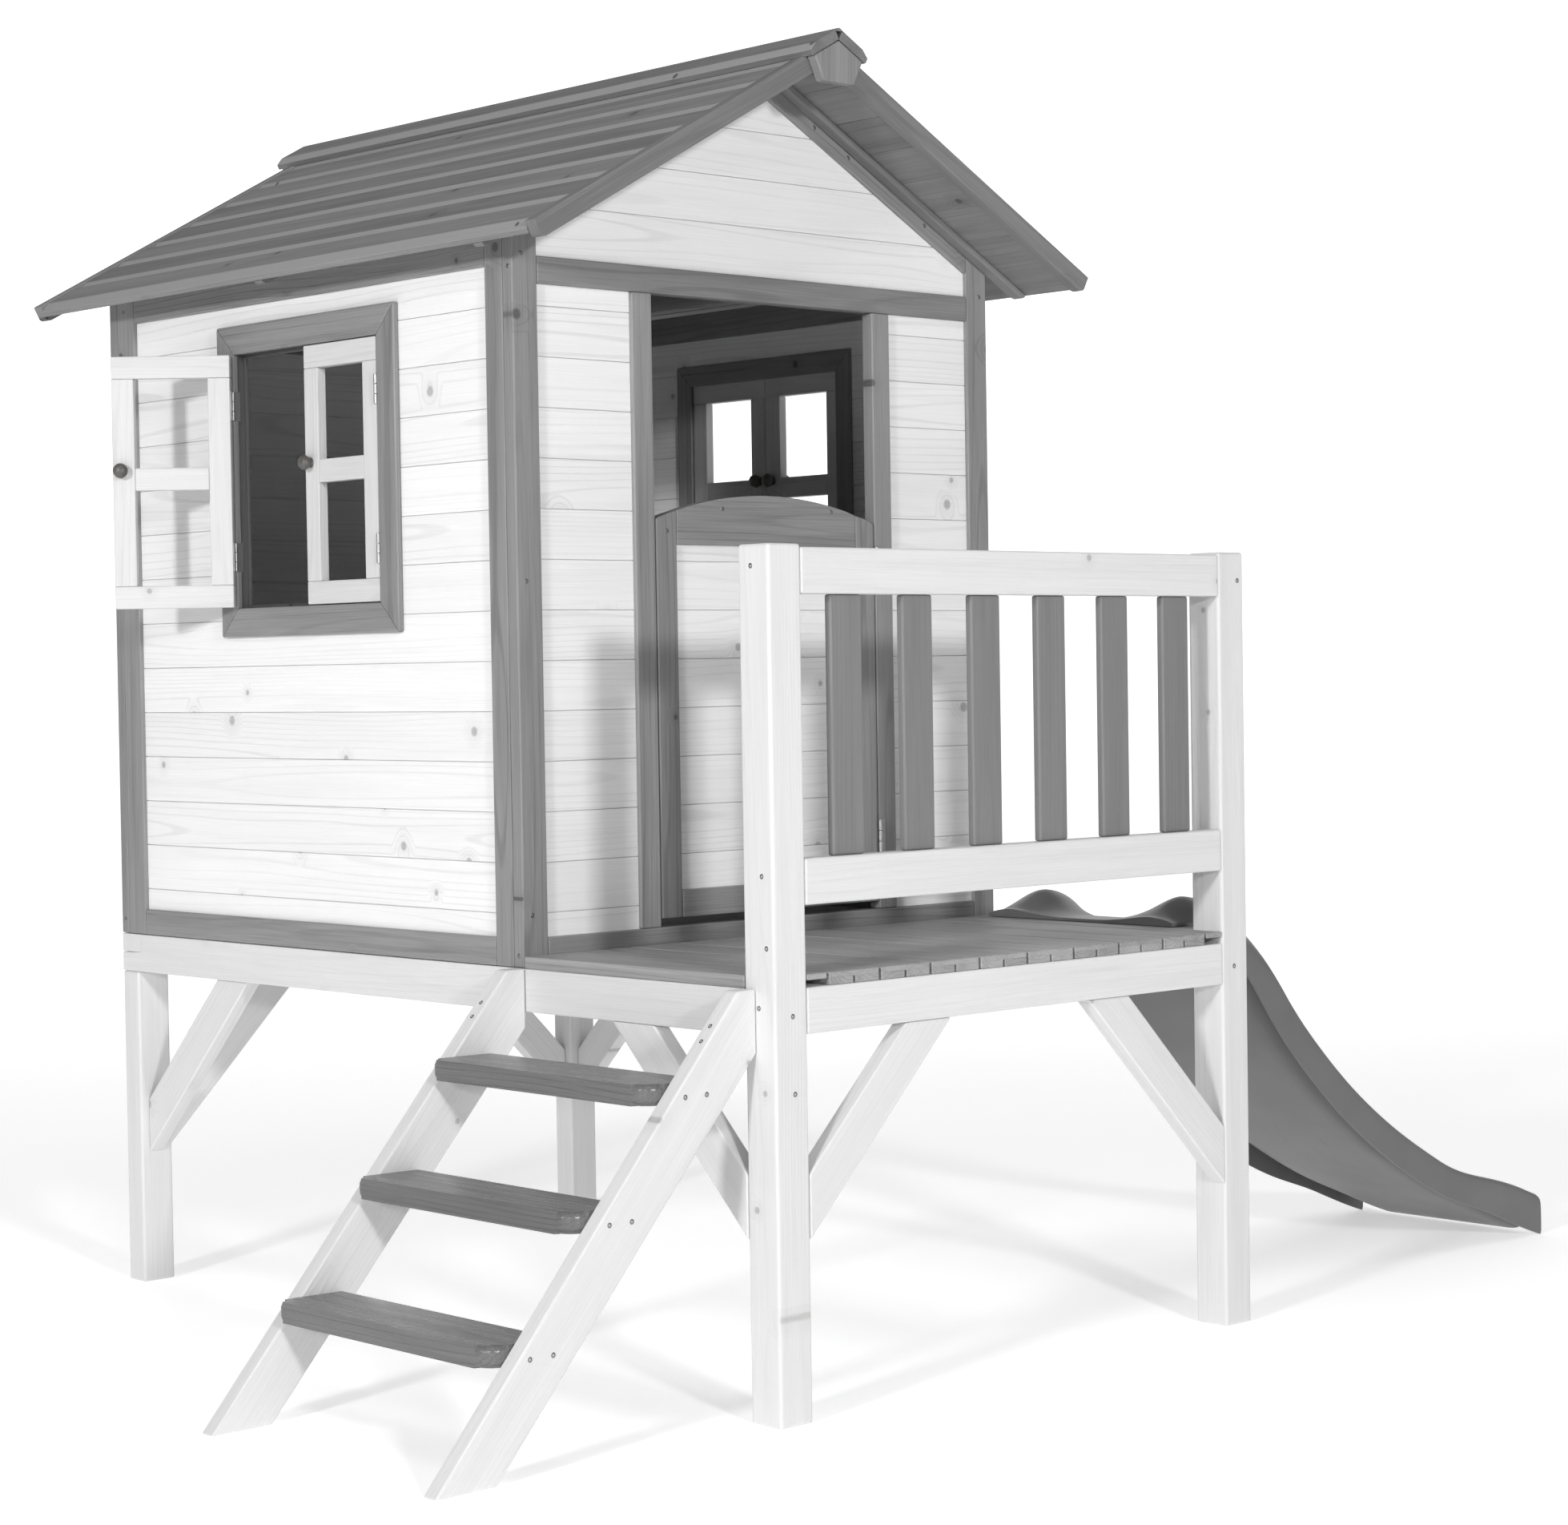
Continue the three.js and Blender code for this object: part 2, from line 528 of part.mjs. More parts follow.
// ---------------------------------------------------------------- roof
// section across the ridge of the left slope: grooved boards on top, plain underneath
function roofBoards() {
  const x0 = -EAVE_OUT;
  const x1 = MID_X - GAP;
  const topZ = (x) => EAVE_Z + ROOF_SLOPE * (x - x0);
  const pitch = (x1 - x0) / ROOF_BOARDS;
  const points = [[x0, topZ(x0) - ROOF_BOARD_T], [x1, topZ(x1) - ROOF_BOARD_T], [x1, topZ(x1)]];
  for (let i = ROOF_BOARDS - 1; i > 0; i -= 1) {
    const x = x0 + i * pitch;
    points.push([x + ROOF_GROOVE, topZ(x + ROOF_GROOVE)], [x, topZ(x) - ROOF_GROOVE]);
    points.push([x - ROOF_GROOVE, topZ(x - ROOF_GROOVE)]);
  }
  points.push([x0, topZ(x0)]);
  return points;
}

function rafter() {
  const x0 = -EAVE_OUT;
  const x1 = MID_X - GAP;
  const topZ = (x) => EAVE_Z + ROOF_SLOPE * (x - x0);
  const low = ROOF_BOARD_T / 2;
  return [
    [x0 + 12, topZ(x0 + 12) - ROOF_RAFTER_T], [x1, topZ(x1) - ROOF_RAFTER_T],
    [x1, topZ(x1) - low], [x0, topZ(x0) - low], [x0, topZ(x0) - ROOF_RAFTER_T + 8],
  ];
}

const RAFTER_YS = [ROOF_Y0, -WALL_T, 505, HOUSE_D + 2, ROOF_Y1 - RAFTER_W];
function roofPanel(flip) {
  const place = (points) => (flip ? mirrorX(points) : points);
  const pieces = [slabY(place(roofBoards()), ROOF_Y0, ROOF_Y1)];
  for (const y of RAFTER_YS) {
    pieces.push(slabY(place(rafter()), y, y + RAFTER_W));
  }
  return join(pieces);
}
add("roof_left", roofPanel(false), ROOF_WOOD);
add("roof_right", roofPanel(true), ROOF_WOOD);

const CAP_Z = ROOF_PEAK + GAP;
const CAP_EDGE_Z = CAP_Z - ROOF_SLOPE * CAP_HALF;
const CAP_X0 = MID_X - CAP_HALF;
const CAP_X1 = MID_X + CAP_HALF;
add("ridge_cap", slabY([
  [CAP_X0, CAP_EDGE_Z], [MID_X, CAP_Z], [CAP_X1, CAP_EDGE_Z],
  [CAP_X1, CAP_EDGE_Z + CAP_T], [MID_X, CAP_Z + CAP_T - GAP], [CAP_X0, CAP_EDGE_Z + CAP_T],
], CAP_Y0, CAP_Y1), ROOF_WOOD);

const finial = FINIAL.map(([x, z]) => [MID_X + x, ROOF_PEAK + z]);
add("finial_front", slabY(finial, CAP_Y0 + 1, ROOF_Y0 - GAP), ROOF_WOOD);
add("finial_back", slabY(finial, ROOF_Y1 + GAP, CAP_Y1 - 1), ROOF_WOOD);

// ---------------------------------------------------------------- ladder
const frontRun = (-STRINGER_FLAT - FOOT_FRONT) / BEAM_TOP;
const frontX = (z) => FOOT_FRONT + frontRun * z;
const stringer = [
  [FOOT_FRONT, 0], [FOOT_BACK, 0], [-GAP, STRINGER_CUT], [-GAP, BEAM_TOP], [-STRINGER_FLAT, BEAM_TOP],
];
const treadX = TREAD_TOPS.map((top) => frontX(top - TREAD_T) - TREAD_NOSE);

function stringerGeometry(y0, y1, housing) {
  const tools = TREAD_TOPS.map((top, i) => block(
    treadX[i] - 1, treadX[i] + TREAD_D + GAP, housing[0], housing[1], top - TREAD_T - GAP, top + GAP,
  ));
  return cut(slabY(stringer, y0, y1), tools);
}
const inner0 = LADDER_Y0 + STRINGER_T;
const inner1 = LADDER_Y1 - STRINGER_T;
add("ladder_stringer_right",
  stringerGeometry(LADDER_Y0, inner0, [inner0 - TREAD_HOUSING - GAP, inner0 + 1]), WHITE_WOOD);
add("ladder_stringer_left",
  stringerGeometry(inner1, LADDER_Y1, [inner1 - 1, inner1 + TREAD_HOUSING + GAP]), WHITE_WOOD);

function treadOutline(x0) {
  const y0 = inner0 - TREAD_HOUSING;
  const y1 = inner1 + TREAD_HOUSING;
  const r = TREAD_ROUND;
  const corner = (centreY, from) => {
    const points = [];
    for (let i = 0; i <= 4; i += 1) {
      const angle = from + (i * Math.PI) / 8;
      points.push([x0 + r + r * Math.cos(angle), centreY + r * Math.sin(angle)]);
    }
    return points;
  };
  return [
    [x0 + TREAD_D, y0], [x0 + TREAD_D, y1], ...corner(y1 - r, Math.PI / 2), ...corner(y0 + r, Math.PI),
  ];
}
TREAD_TOPS.forEach((top, i) => {
  add(`ladder_tread_${i + 1}`, slabZ(treadOutline(treadX[i]), top - TREAD_T, top), DECK_WOOD);
});

// ---------------------------------------------------------------- slide
// one moulded channel: side walls rolled outwards into skirts, swept down the floor line
function channelRing(shape, wall, skirt) {
  const half = (SLIDE_Y1 - SLIDE_Y0) / 2;
  const left = [[-half, -skirt], ...shape.map(([inset, share]) => [-half + inset, share * wall])];
  const top = [...left, ...left.map(([y, n]) => [-y, n]).reverse()];
  const under = top.map(([y, n], i) => {
    const [y0, n0] = top[Math.max(i - 1, 0)];
    const [y1, n1] = top[Math.min(i + 1, top.length - 1)];
    const length = Math.hypot(y1 - y0, n1 - n0);
    return [y + (SLIDE_T * (n1 - n0)) / length, n - (SLIDE_T * (y1 - y0)) / length];
  });
  under[0][1] = -skirt;
  under[under.length - 1][1] = -skirt;
  return [...top, ...under.reverse()];
}

function slideStations() {
  const curve = new THREE.CatmullRomCurve3(SLIDE_PATH.map(([x, z]) => new THREE.Vector3(x, 0, z)));
  const stations = [];
  for (let i = 0; i <= SLIDE_STEPS; i += 1) {
    const centre = curve.getPointAt(i / SLIDE_STEPS);
    const along = curve.getTangentAt(i / SLIDE_STEPS);
    stations.push({ centre, normal: new THREE.Vector3(-along.z, 0, along.x).normalize() });
  }
  return stations;
}

function slideGeometry() {
  const midY = (SLIDE_Y0 + SLIDE_Y1) / 2;
  const smooth = THREE.MathUtils.smoothstep;
  const positions = [];
  const stations = slideStations();
  let count = 0;
  for (const { centre, normal } of stations) {
    const x = centre.x;
    const rise = smooth(x, SLIDE_LIP_X - 16, SLIDE_LIP_X + 79);
    const full = SLIDE_WALL + (SLIDE_END_WALL - SLIDE_WALL) * smooth(x, SLIDE_END_X - 293, SLIDE_END_X - 63);
    const end = Math.min(1, Math.max(0, (x - SLIDE_END_X + SLIDE_CORNER[0]) / SLIDE_CORNER[0]));
    const wall = Math.max(8, full * rise - SLIDE_CORNER[1] * (1 - Math.sqrt(1 - end * end)));
    const skirt = SLIDE_T + (SLIDE_SKIRT - SLIDE_T) * smooth(x, HOUSE_W + 8, HOUSE_W + 40);
    const turn = smooth(x, HOUSE_W + 42, HOUSE_W + 202);
    const shape = SLIDE_RUN_SHAPE.map((run, i) => run.map((value, k) => (
      value * turn + SLIDE_LIP_SHAPE[i][k] * (1 - turn))));
    const ring = channelRing(shape, wall, skirt);
    count = ring.length;
    for (const [y, n] of ring) {
      const pushed = Math.min(x + normal.x * n, SLIDE_END_X);
      positions.push(pushed, midY + y, Math.max(centre.z + normal.z * n, 0));
    }
  }
  const index = [];
  for (let s = 0; s + 1 < stations.length; s += 1) {
    for (let k = 0; k < count; k += 1) {
      const a = s * count + k;
      const b = s * count + ((k + 1) % count);
      index.push(a, a + count, b, b, a + count, b + count);
    }
  }
  const last = (stations.length - 1) * count;
  for (let i = 0; i + 1 < count / 2; i += 1) {
    const [a, b, c, d] = [i, i + 1, count - 2 - i, count - 1 - i];
    index.push(a, b, c, a, c, d);
    index.push(last + a, last + c, last + b, last + a, last + d, last + c);
  }
  const geometry = new THREE.BufferGeometry();
  geometry.setAttribute("position", new THREE.Float32BufferAttribute(positions, 3));
  geometry.setIndex(index);
  geometry.computeVertexNormals();
  return geometry;
}
add("slide", slideGeometry(), PLASTIC);

export default playhouse;
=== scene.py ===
import json
import math
import random

import bmesh
import bpy
from mathutils import Matrix, Vector


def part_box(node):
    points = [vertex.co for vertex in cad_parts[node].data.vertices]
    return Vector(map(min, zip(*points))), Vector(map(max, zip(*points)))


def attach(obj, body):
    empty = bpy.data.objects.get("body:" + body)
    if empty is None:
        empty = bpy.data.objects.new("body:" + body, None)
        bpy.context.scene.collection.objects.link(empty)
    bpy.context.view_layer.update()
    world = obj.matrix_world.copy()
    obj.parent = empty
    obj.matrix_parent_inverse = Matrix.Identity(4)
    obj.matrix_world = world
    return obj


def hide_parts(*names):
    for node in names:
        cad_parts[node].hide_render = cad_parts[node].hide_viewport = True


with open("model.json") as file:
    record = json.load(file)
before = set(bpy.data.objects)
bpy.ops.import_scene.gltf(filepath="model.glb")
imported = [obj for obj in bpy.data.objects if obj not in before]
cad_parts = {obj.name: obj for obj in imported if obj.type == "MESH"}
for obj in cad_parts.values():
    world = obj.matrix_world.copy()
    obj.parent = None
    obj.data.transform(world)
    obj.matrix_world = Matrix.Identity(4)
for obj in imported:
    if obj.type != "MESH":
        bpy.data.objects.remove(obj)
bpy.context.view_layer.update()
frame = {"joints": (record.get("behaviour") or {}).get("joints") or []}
rng = random.Random(41)
MM = 0.001

# House coordinates in millimetres: X = 0 outer face of the ladder-side wall, Y = 0 outer face
# of the door wall, Z = 0 the ground. The walls' own boxes place them in the row frame.
ORIGIN = Vector((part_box("wall_front")[0].x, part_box("wall_front")[0].y, 0.0))
HOUSE_W = (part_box("wall_front")[1].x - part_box("wall_front")[0].x) / MM
HOUSE_D = (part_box("wall_back")[1].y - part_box("wall_front")[0].y) / MM


def span(node):
    """The node's box in house millimetres: (x0, x1, y0, y1, z0, z1)."""
    low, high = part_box(node)
    low, high = (low - ORIGIN) / MM, (high - ORIGIN) / MM
    return low.x, high.x, low.y, high.y, low.z, high.z


# ------------------------------------------------------------------ materials
def new_material(name):
    mat = bpy.data.materials.new(name)
    mat.use_nodes = True
    return mat, mat.node_tree, mat.node_tree.nodes["Principled BSDF"]


class Graph:
    """Small helpers to write node trees as expressions."""

    def __init__(self, tree):
        self.tree = tree

    def node(self, kind, **inputs):
        node = self.tree.nodes.new(kind)
        for key, value in inputs.items():
            self.put(node.inputs[key.replace("_", " ")], value)
        return node

    def put(self, socket, value):
        if isinstance(value, bpy.types.NodeSocket):
            self.tree.links.new(value, socket)
        else:
            socket.default_value = value

    def math(self, operation, a, b=0.0, c=0.0, clamp=False):
        node = self.tree.nodes.new("ShaderNodeMath")
        node.operation = operation
        node.use_clamp = clamp
        for socket, value in zip(node.inputs, (a, b, c)):
            self.put(socket, value)
        return node.outputs[0]

    def scaled(self, vector, scale):
        node = self.tree.nodes.new("ShaderNodeVectorMath")
        node.operation = "MULTIPLY"
        self.put(node.inputs[0], vector)
        node.inputs[1].default_value = scale
        return node.outputs[0]

    def attribute(self, name, output="Vector"):
        node = self.tree.nodes.new("ShaderNodeAttribute")
        node.attribute_name = name
        return node.outputs[output]

    def split(self, vector):
        return self.node("ShaderNodeSeparateXYZ", Vector=vector).outputs

    def noise(self, vector, scale=1.0, detail=2.0, rough=0.5):
        node = self.node("ShaderNodeTexNoise", Vector=vector, Scale=scale, Detail=detail, Roughness=rough)
        return node.outputs["Fac"]

    def ramp(self, value, low, high, to_low=0.0, to_high=1.0):
        node = self.tree.nodes.new("ShaderNodeMapRange")
        node.interpolation_type = "SMOOTHSTEP"
        for socket, v in zip(node.inputs, (value, low, high, to_low, to_high)):
            self.put(socket, v)
        return node.outputs[0]

    def blend(self, factor, a, b):
        node = self.tree.nodes.new("ShaderNodeMix")
        node.data_type = "RGBA"
        self.put(node.inputs[0], factor)
        self.put(node.inputs[6], a)
        self.put(node.inputs[7], b)
        return node.outputs[2]

    def bump(self, bsdf, strength, distance, height):
        node = self.node("ShaderNodeBump", Strength=strength, Distance=distance, Height=height)
        self.put(bsdf.inputs["Normal"], node.outputs[0])


def grey(value):
    return (value, value, value, 1.0)


KNOT_CELLS = 6.5
RING_PITCH = 0.0056
FIBRE_FINE = (7.0, 620.0, 620.0)
FIBRE_BROAD = (2.2, 38.0, 38.0)


def wood(name, light, dark, knot, rough, rings=0.5, fibre=0.35, tone=0.3, knots=0.62):
    """Stained softwood: growth rings, fibres, knots and a tone for each board.

    Each board's "grain" attribute runs along it in metres, and its "board" attribute holds how dark
    the staining took (below zero for a painted highlight) and where the heart of the tree lay.
    knots is the share of cells without a knot.
    """
    mat, tree, bsdf = new_material(name)
    g = Graph(tree)
    grain = g.attribute("grain")
    board = g.attribute("board")
    _, across, deep = g.split(grain)
    shade, pith_y, pith_z = g.split(board)
    cell = g.node("ShaderNodeTexVoronoi", Vector=grain, Scale=KNOT_CELLS, Randomness=1.0)
    cell.voronoi_dimensions = "2D"
    distance = g.math("DIVIDE", cell.outputs["Distance"], KNOT_CELLS)
    dice = g.node("ShaderNodeSeparateColor", Color=cell.outputs["Color"]).outputs
    present = g.math("GREATER_THAN", dice[0], knots)
    size = g.math("MULTIPLY_ADD", dice[1], 0.0045, 0.0035)
    reach = g.math("DIVIDE", distance, size)
    core = g.math("MULTIPLY", g.ramp(reach, 0.65, 1.25, 1.0, 0.0), present)
    halo = g.math("MULTIPLY", g.ramp(reach, 0.8, 4.5, 1.0, 0.0), present)
    slow = g.noise(g.scaled(grain, (1.2, 7.0, 7.0)), detail=1.5)
    wander = g.math("MULTIPLY_ADD", slow, 0.03, -0.015)
    dy = g.math("SUBTRACT", across, pith_y)
    dz = g.math("SUBTRACT", deep, pith_z)
    squares = g.math("ADD", g.math("MULTIPLY", dy, dy), g.math("MULTIPLY", dz, dz))
    radius = g.math("ADD", g.math("SQRT", squares), wander)
    radius = g.math("MULTIPLY_ADD", halo, 0.012, radius)
    wave = g.math("SINE", g.math("MULTIPLY", radius, 2 * math.pi / RING_PITCH))
    ring = g.ramp(wave, 0.7, 1.0)
    fine = g.noise(g.scaled(grain, FIBRE_FINE), detail=2.5, rough=0.6)
    streak = g.noise(g.scaled(grain, FIBRE_BROAD), detail=3.0)
    broad = g.noise(g.scaled(grain, (1.1, 5.0, 5.0)), detail=1.0)
    ring_share = g.math("MULTIPLY", ring, g.ramp(broad, 0.3, 0.7, 0.25, 1.0))
    amount = g.math("MULTIPLY", ring_share, rings)
    amount = g.math("MULTIPLY_ADD", g.ramp(fine, 0.3, 0.75), fibre, amount)
    amount = g.math("MULTIPLY_ADD", g.ramp(streak, 0.35, 0.75), fibre * 0.8, amount)
    # shade carries the board's tone; below zero it paints a highlight
    amount = g.math("MULTIPLY_ADD", shade, tone, amount)
    amount = g.math("MULTIPLY_ADD", halo, 0.16, amount, clamp=True)
    colour = g.blend(amount, grey(light), grey(dark))
    speckle = g.noise(g.scaled(grain, (420.0, 420.0, 60.0)))
    heart = g.math("MULTIPLY", core, g.ramp(speckle, 0.25, 0.6, 0.65, 1.0))
    g.put(bsdf.inputs["Base Color"], g.blend(heart, colour, grey(knot)))
    g.put(bsdf.inputs["Roughness"], g.math("MULTIPLY_ADD", amount, 0.12, rough))
    height = g.math("MULTIPLY_ADD", fine, 0.6, g.math("MULTIPLY", ring_share, 0.6))
    height = g.math("MULTIPLY_ADD", core, -0.8, height)
    g.bump(bsdf, 0.25, 0.0012, height)
    return mat


def plastic(name, value):
    """Satin moulded polyethylene with a faint orange-peel skin and scuffs."""
    mat, tree, bsdf = new_material(name)
    g = Graph(tree)
    place = g.node("ShaderNodeTexCoord").outputs["Object"]
    mottle = g.noise(place, scale=9.0, detail=3.0)
    skin = g.noise(place, scale=900.0, detail=2.0)
    scuff = g.ramp(g.noise(g.scaled(place, (9.0, 160.0, 30.0)), detail=3.0), 0.6, 0.8)
    colour = g.blend(g.ramp(mottle, 0.3, 0.7), grey(value * 0.94), grey(value * 1.06))
    g.put(bsdf.inputs["Base Color"], g.blend(g.math("MULTIPLY", scuff, 0.25), colour, grey(value * 1.4)))
    g.put(bsdf.inputs["Roughness"], g.math("MULTIPLY_ADD", scuff, 0.15, 0.4))
    g.bump(bsdf, 0.08, 0.0006, skin)
    return mat


def metal(name, value, rough):
    """Zinc-plated steel with faint brushing and dull patches."""
    mat, tree, bsdf = new_material(name)
    g = Graph(tree)
    place = g.node("ShaderNodeTexCoord").outputs["Object"]
    patch = g.noise(place, scale=260.0, detail=3.0)
    g.put(bsdf.inputs["Base Color"], g.blend(patch, grey(value * 0.7), grey(value * 1.15)))
    g.put(bsdf.inputs["Roughness"], g.math("MULTIPLY_ADD", patch, 0.2, rough))
    bsdf.inputs["Metallic"].default_value = 1.0
    return mat


def turned(name):
    """Dark stained turned knob with rings from the lathe."""
    mat, tree, bsdf = new_material(name)
    g = Graph(tree)
    place = g.node("ShaderNodeTexCoord").outputs["Object"]
    streak = g.noise(g.scaled(place, (60.0, 420.0, 420.0)), detail=3.0)
    g.put(bsdf.inputs["Base Color"], g.blend(streak, (0.055, 0.053, 0.05, 1), (0.13, 0.125, 0.118, 1)))
    g.put(bsdf.inputs["Roughness"], g.math("MULTIPLY_ADD", streak, 0.2, 0.3))
    g.bump(bsdf, 0.15, 0.0004, streak)
    return mat


WHITE = wood("white_wash", 0.88, 0.5, 0.42, 0.6, rings=0.25, fibre=0.12, tone=0.12)
TIMBER = wood("white_timber", 0.72, 0.5, 0.4, 0.6, rings=0.12, fibre=0.22, tone=0.1)
SHUTTER = wood("shutter_white", 0.66, 0.42, 0.36, 0.6, rings=0.22, fibre=0.22, tone=0.1, knots=0.93)
GREY = wood("grey_stain", 0.3, 0.165, 0.085, 0.5, rings=0.42, fibre=0.45, tone=0.35)
SLAT = wood("slat_grey", 0.21, 0.15, 0.09, 0.5, rings=0.25, fibre=0.35, tone=0.25, knots=0.98)
ROOF = wood("roof_stain", 0.3, 0.14, 0.07, 0.6, rings=0.2, fibre=0.3, tone=0.7)
DECK = wood("deck_stain", 0.4, 0.22, 0.12, 0.5, rings=0.5, fibre=0.4, tone=0.4, knots=0.75)
# near-black lining that paints the shade inside the ladder-side window opening
PAINTED_SHADE_LINING = wood("lining_painted_shade", 0.1, 0.055, 0.03, 0.6, rings=0.3, fibre=0.4, tone=0.3)
TREAD = wood("tread_stain", 0.17, 0.1, 0.05, 0.22, rings=0.4, fibre=0.4, tone=0.3, knots=0.9)
PLASTIC = plastic("slide_plastic", 0.138)
STEEL = metal("zinc_steel", 0.45, 0.35)
SCREW = metal("screw_steel", 0.3, 0.35)
KNOB = turned("knob_wood")


# ------------------------------------------------------------------ board builder
X, Y, Z = Vector((1, 0, 0)), Vector((0, 1, 0)), Vector((0, 0, 1))
DARK_JOINT = 4.0  # tone of the tongues between boards, far beyond any board's own 0 to 1
PAINTED_HIGHLIGHT = -1.5  # tone that paints a highlight on faces turned to the light, lighter than any board's own 0 to 1


def to_world(u, v, w, at):
    """Matrix from plank (u, v, w) metres to the row frame. u, v, w are directions, at house mm."""
    columns = Matrix((Vector(u), Vector(v), Vector(w))).transposed().to_4x4()
    return Matrix.Translation(ORIGIN + Vector(at) * MM) @ columns


class Boards:
    """Planks collected into one mesh, each with its own grain direction and ring centre."""

    def __init__(self):
        self.verts = []
        self.faces = []
        self.grain = []
        self.board = []

    def add(self, bm, matrix, grain_angle, tone=None, pale=None):
        """Grain runs at grain_angle in the plank's own plane; None sends it along the third axis.

        tone is how dark the staining took, and pale(u, v) in mm tells where a painted highlight lightens it.
        """
        flip = matrix.determinant() < 0
        base = len(self.verts)
        places = []
        for i, vert in enumerate(bm.verts):
            vert.index = i
            x, y, z = vert.co
            self.verts.append(matrix @ vert.co)
            if grain_angle is None:
                places.append((z, x, y))
                continue
            cosine, sine = math.cos(grain_angle), math.sin(grain_angle)
            places.append((x * cosine + y * sine, y * cosine - x * sine, z))
        across = [place[1] for place in places]
        width = max(across) - min(across)
        start = rng.uniform(0, 40)
        pith_y = (max(across) + min(across)) / 2 + rng.uniform(-0.6, 0.6) * width
        pith_z = rng.choice((-1, 1)) * rng.uniform(0.02, 0.09)
        tone = rng.random() if tone is None else tone
        self.grain += [(x + start, y, z) for x, y, z in places]
        for vert in bm.verts:
            # faces that pale picks get the painted highlight's tone instead of the board's own
            highlighted = pale is not None and pale(vert.co.x / MM, vert.co.y / MM)
            self.board.append((PAINTED_HIGHLIGHT if highlighted else tone, pith_y, pith_z))
        for face in bm.faces:
            ids = [base + v.index for v in face.verts]
            self.faces.append(ids[::-1] if flip else ids)
        bm.free()

    def plank(self, outline, thickness, matrix, angle=0.0, bevel=1.2, segments=2,
              tone=None, pale=None, rim=False):
        """outline in mm in the plank's own plane, thickness in mm along its third axis.

        rim rounds only the edges around the two faces, and not the upright corners.
        """
        bm = bmesh.new()
        low = [bm.verts.new((u * MM, v * MM, 0)) for u, v in outline]
        high = [bm.verts.new((u * MM, v * MM, thickness * MM)) for u, v in outline]
        count = len(outline)
        area = sum(outline[i][0] * outline[(i + 1) % count][1] - outline[(i + 1) % count][0] * outline[i][1]
                   for i in range(count))
        step = 1 if area > 0 else -1
        bm.faces.new(low[::-1] if step > 0 else low)
        bm.faces.new(high if step > 0 else high[::-1])
        for i in range(count):
            j = (i + 1) % count
            ring = (low[i], low[j], high[j], high[i])
            bm.faces.new(ring if step > 0 else ring[::-1])
        if bevel > 0:
            level = [e for e in bm.edges if abs(e.verts[0].co.z - e.verts[1].co.z) < 1e-6]
            edges = level if rim else bm.edges[:]
            bmesh.ops.bevel(bm, geom=edges, offset=bevel * MM, segments=segments, profile=0.5,
                            affect="EDGES", clamp_overlap=not rim)
        self.add(bm, matrix, angle, tone, pale)

    def box(self, x0, x1, y0, y1, z0, z1, bevel=2.0, segments=2):
        """A straight timber in house mm; its grain runs along its longest side."""
        sides = sorted(((x1 - x0, X), (y1 - y0, Y), (z1 - z0, Z)), key=lambda pair: -pair[0])
        (length, u), (width, v), (thickness, w) = sides
        matrix = to_world(u, v, w, (x0, y0, z0))
        self.plank(rectangle(0, length, 0, width), thickness, matrix, 0.0, bevel, segments)

    def piece(self, name, material, body, slot, replaces=()):
        mesh = bpy.data.meshes.new(name)
        mesh.from_pydata([tuple(v) for v in self.verts], [], self.faces)
        for key, values in (("grain", self.grain), ("board", self.board)):
            layer = mesh.attributes.new(key, "FLOAT_VECTOR", "POINT")
            layer.data.foreach_set("vector", [c for value in values for c in value])
        finish_piece(name, mesh, material, body, replaces)

    def stand_in(self, node, material, slot):
        """The piece that takes the place of one fixed node."""
        self.piece(f"v_{node}", material, "playhouse", slot, [node])


def finish_piece(name, mesh, material, body, replaces=(), smooth=None):
    mesh.materials.append(material)
    if smooth is not None:
        mesh.shade_smooth()
        mesh.set_sharp_from_angle(angle=math.radians(smooth))
    piece = bpy.data.objects.new(name, mesh)
    bpy.context.scene.collection.objects.link(piece)
    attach(piece, body)
    if replaces:
        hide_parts(*replaces)


def rectangle(a0, a1, b0, b1):
    return [(a0, b0), (a1, b0), (a1, b1), (a0, b1)]


def front(y):
    """Plane of the door wall: u along X, v along Z, thickness towards +Y."""
    return to_world(X, Z, Y, (0, y, 0))


def side(x):
    """Plane of a side wall: u along Y, v along Z, thickness towards +X."""
    return to_world(Y, Z, X, (x, 0, 0))


# ------------------------------------------------------------------ straight timbers
STRAIGHT_TIMBERS = {
    "post_front_left": 4.0, "post_front_right": 4.0, "leg_back_left": 4.0, "leg_back_right": 4.0,
    "beam_house_front": 2.5, "joist_house": 2.5,
    "beam_veranda_left": 2.5, "beam_veranda_right": 2.5, "beam_veranda_front": 2.5,
    "rail_upper": 3.0, "rail_lower": 3.0,
}
for node, bevel in STRAIGHT_TIMBERS.items():
    boards = Boards()
    boards.box(*span(node), bevel=bevel, segments=3)
    boards.stand_in(node, TIMBER, "white_wood")

for i in range(1, 7):
    boards = Boards()
    boards.box(*span(f"slat_{i}"), bevel=3.0, segments=3)
    boards.stand_in(f"slat_{i}", SLAT, "grey_wood")

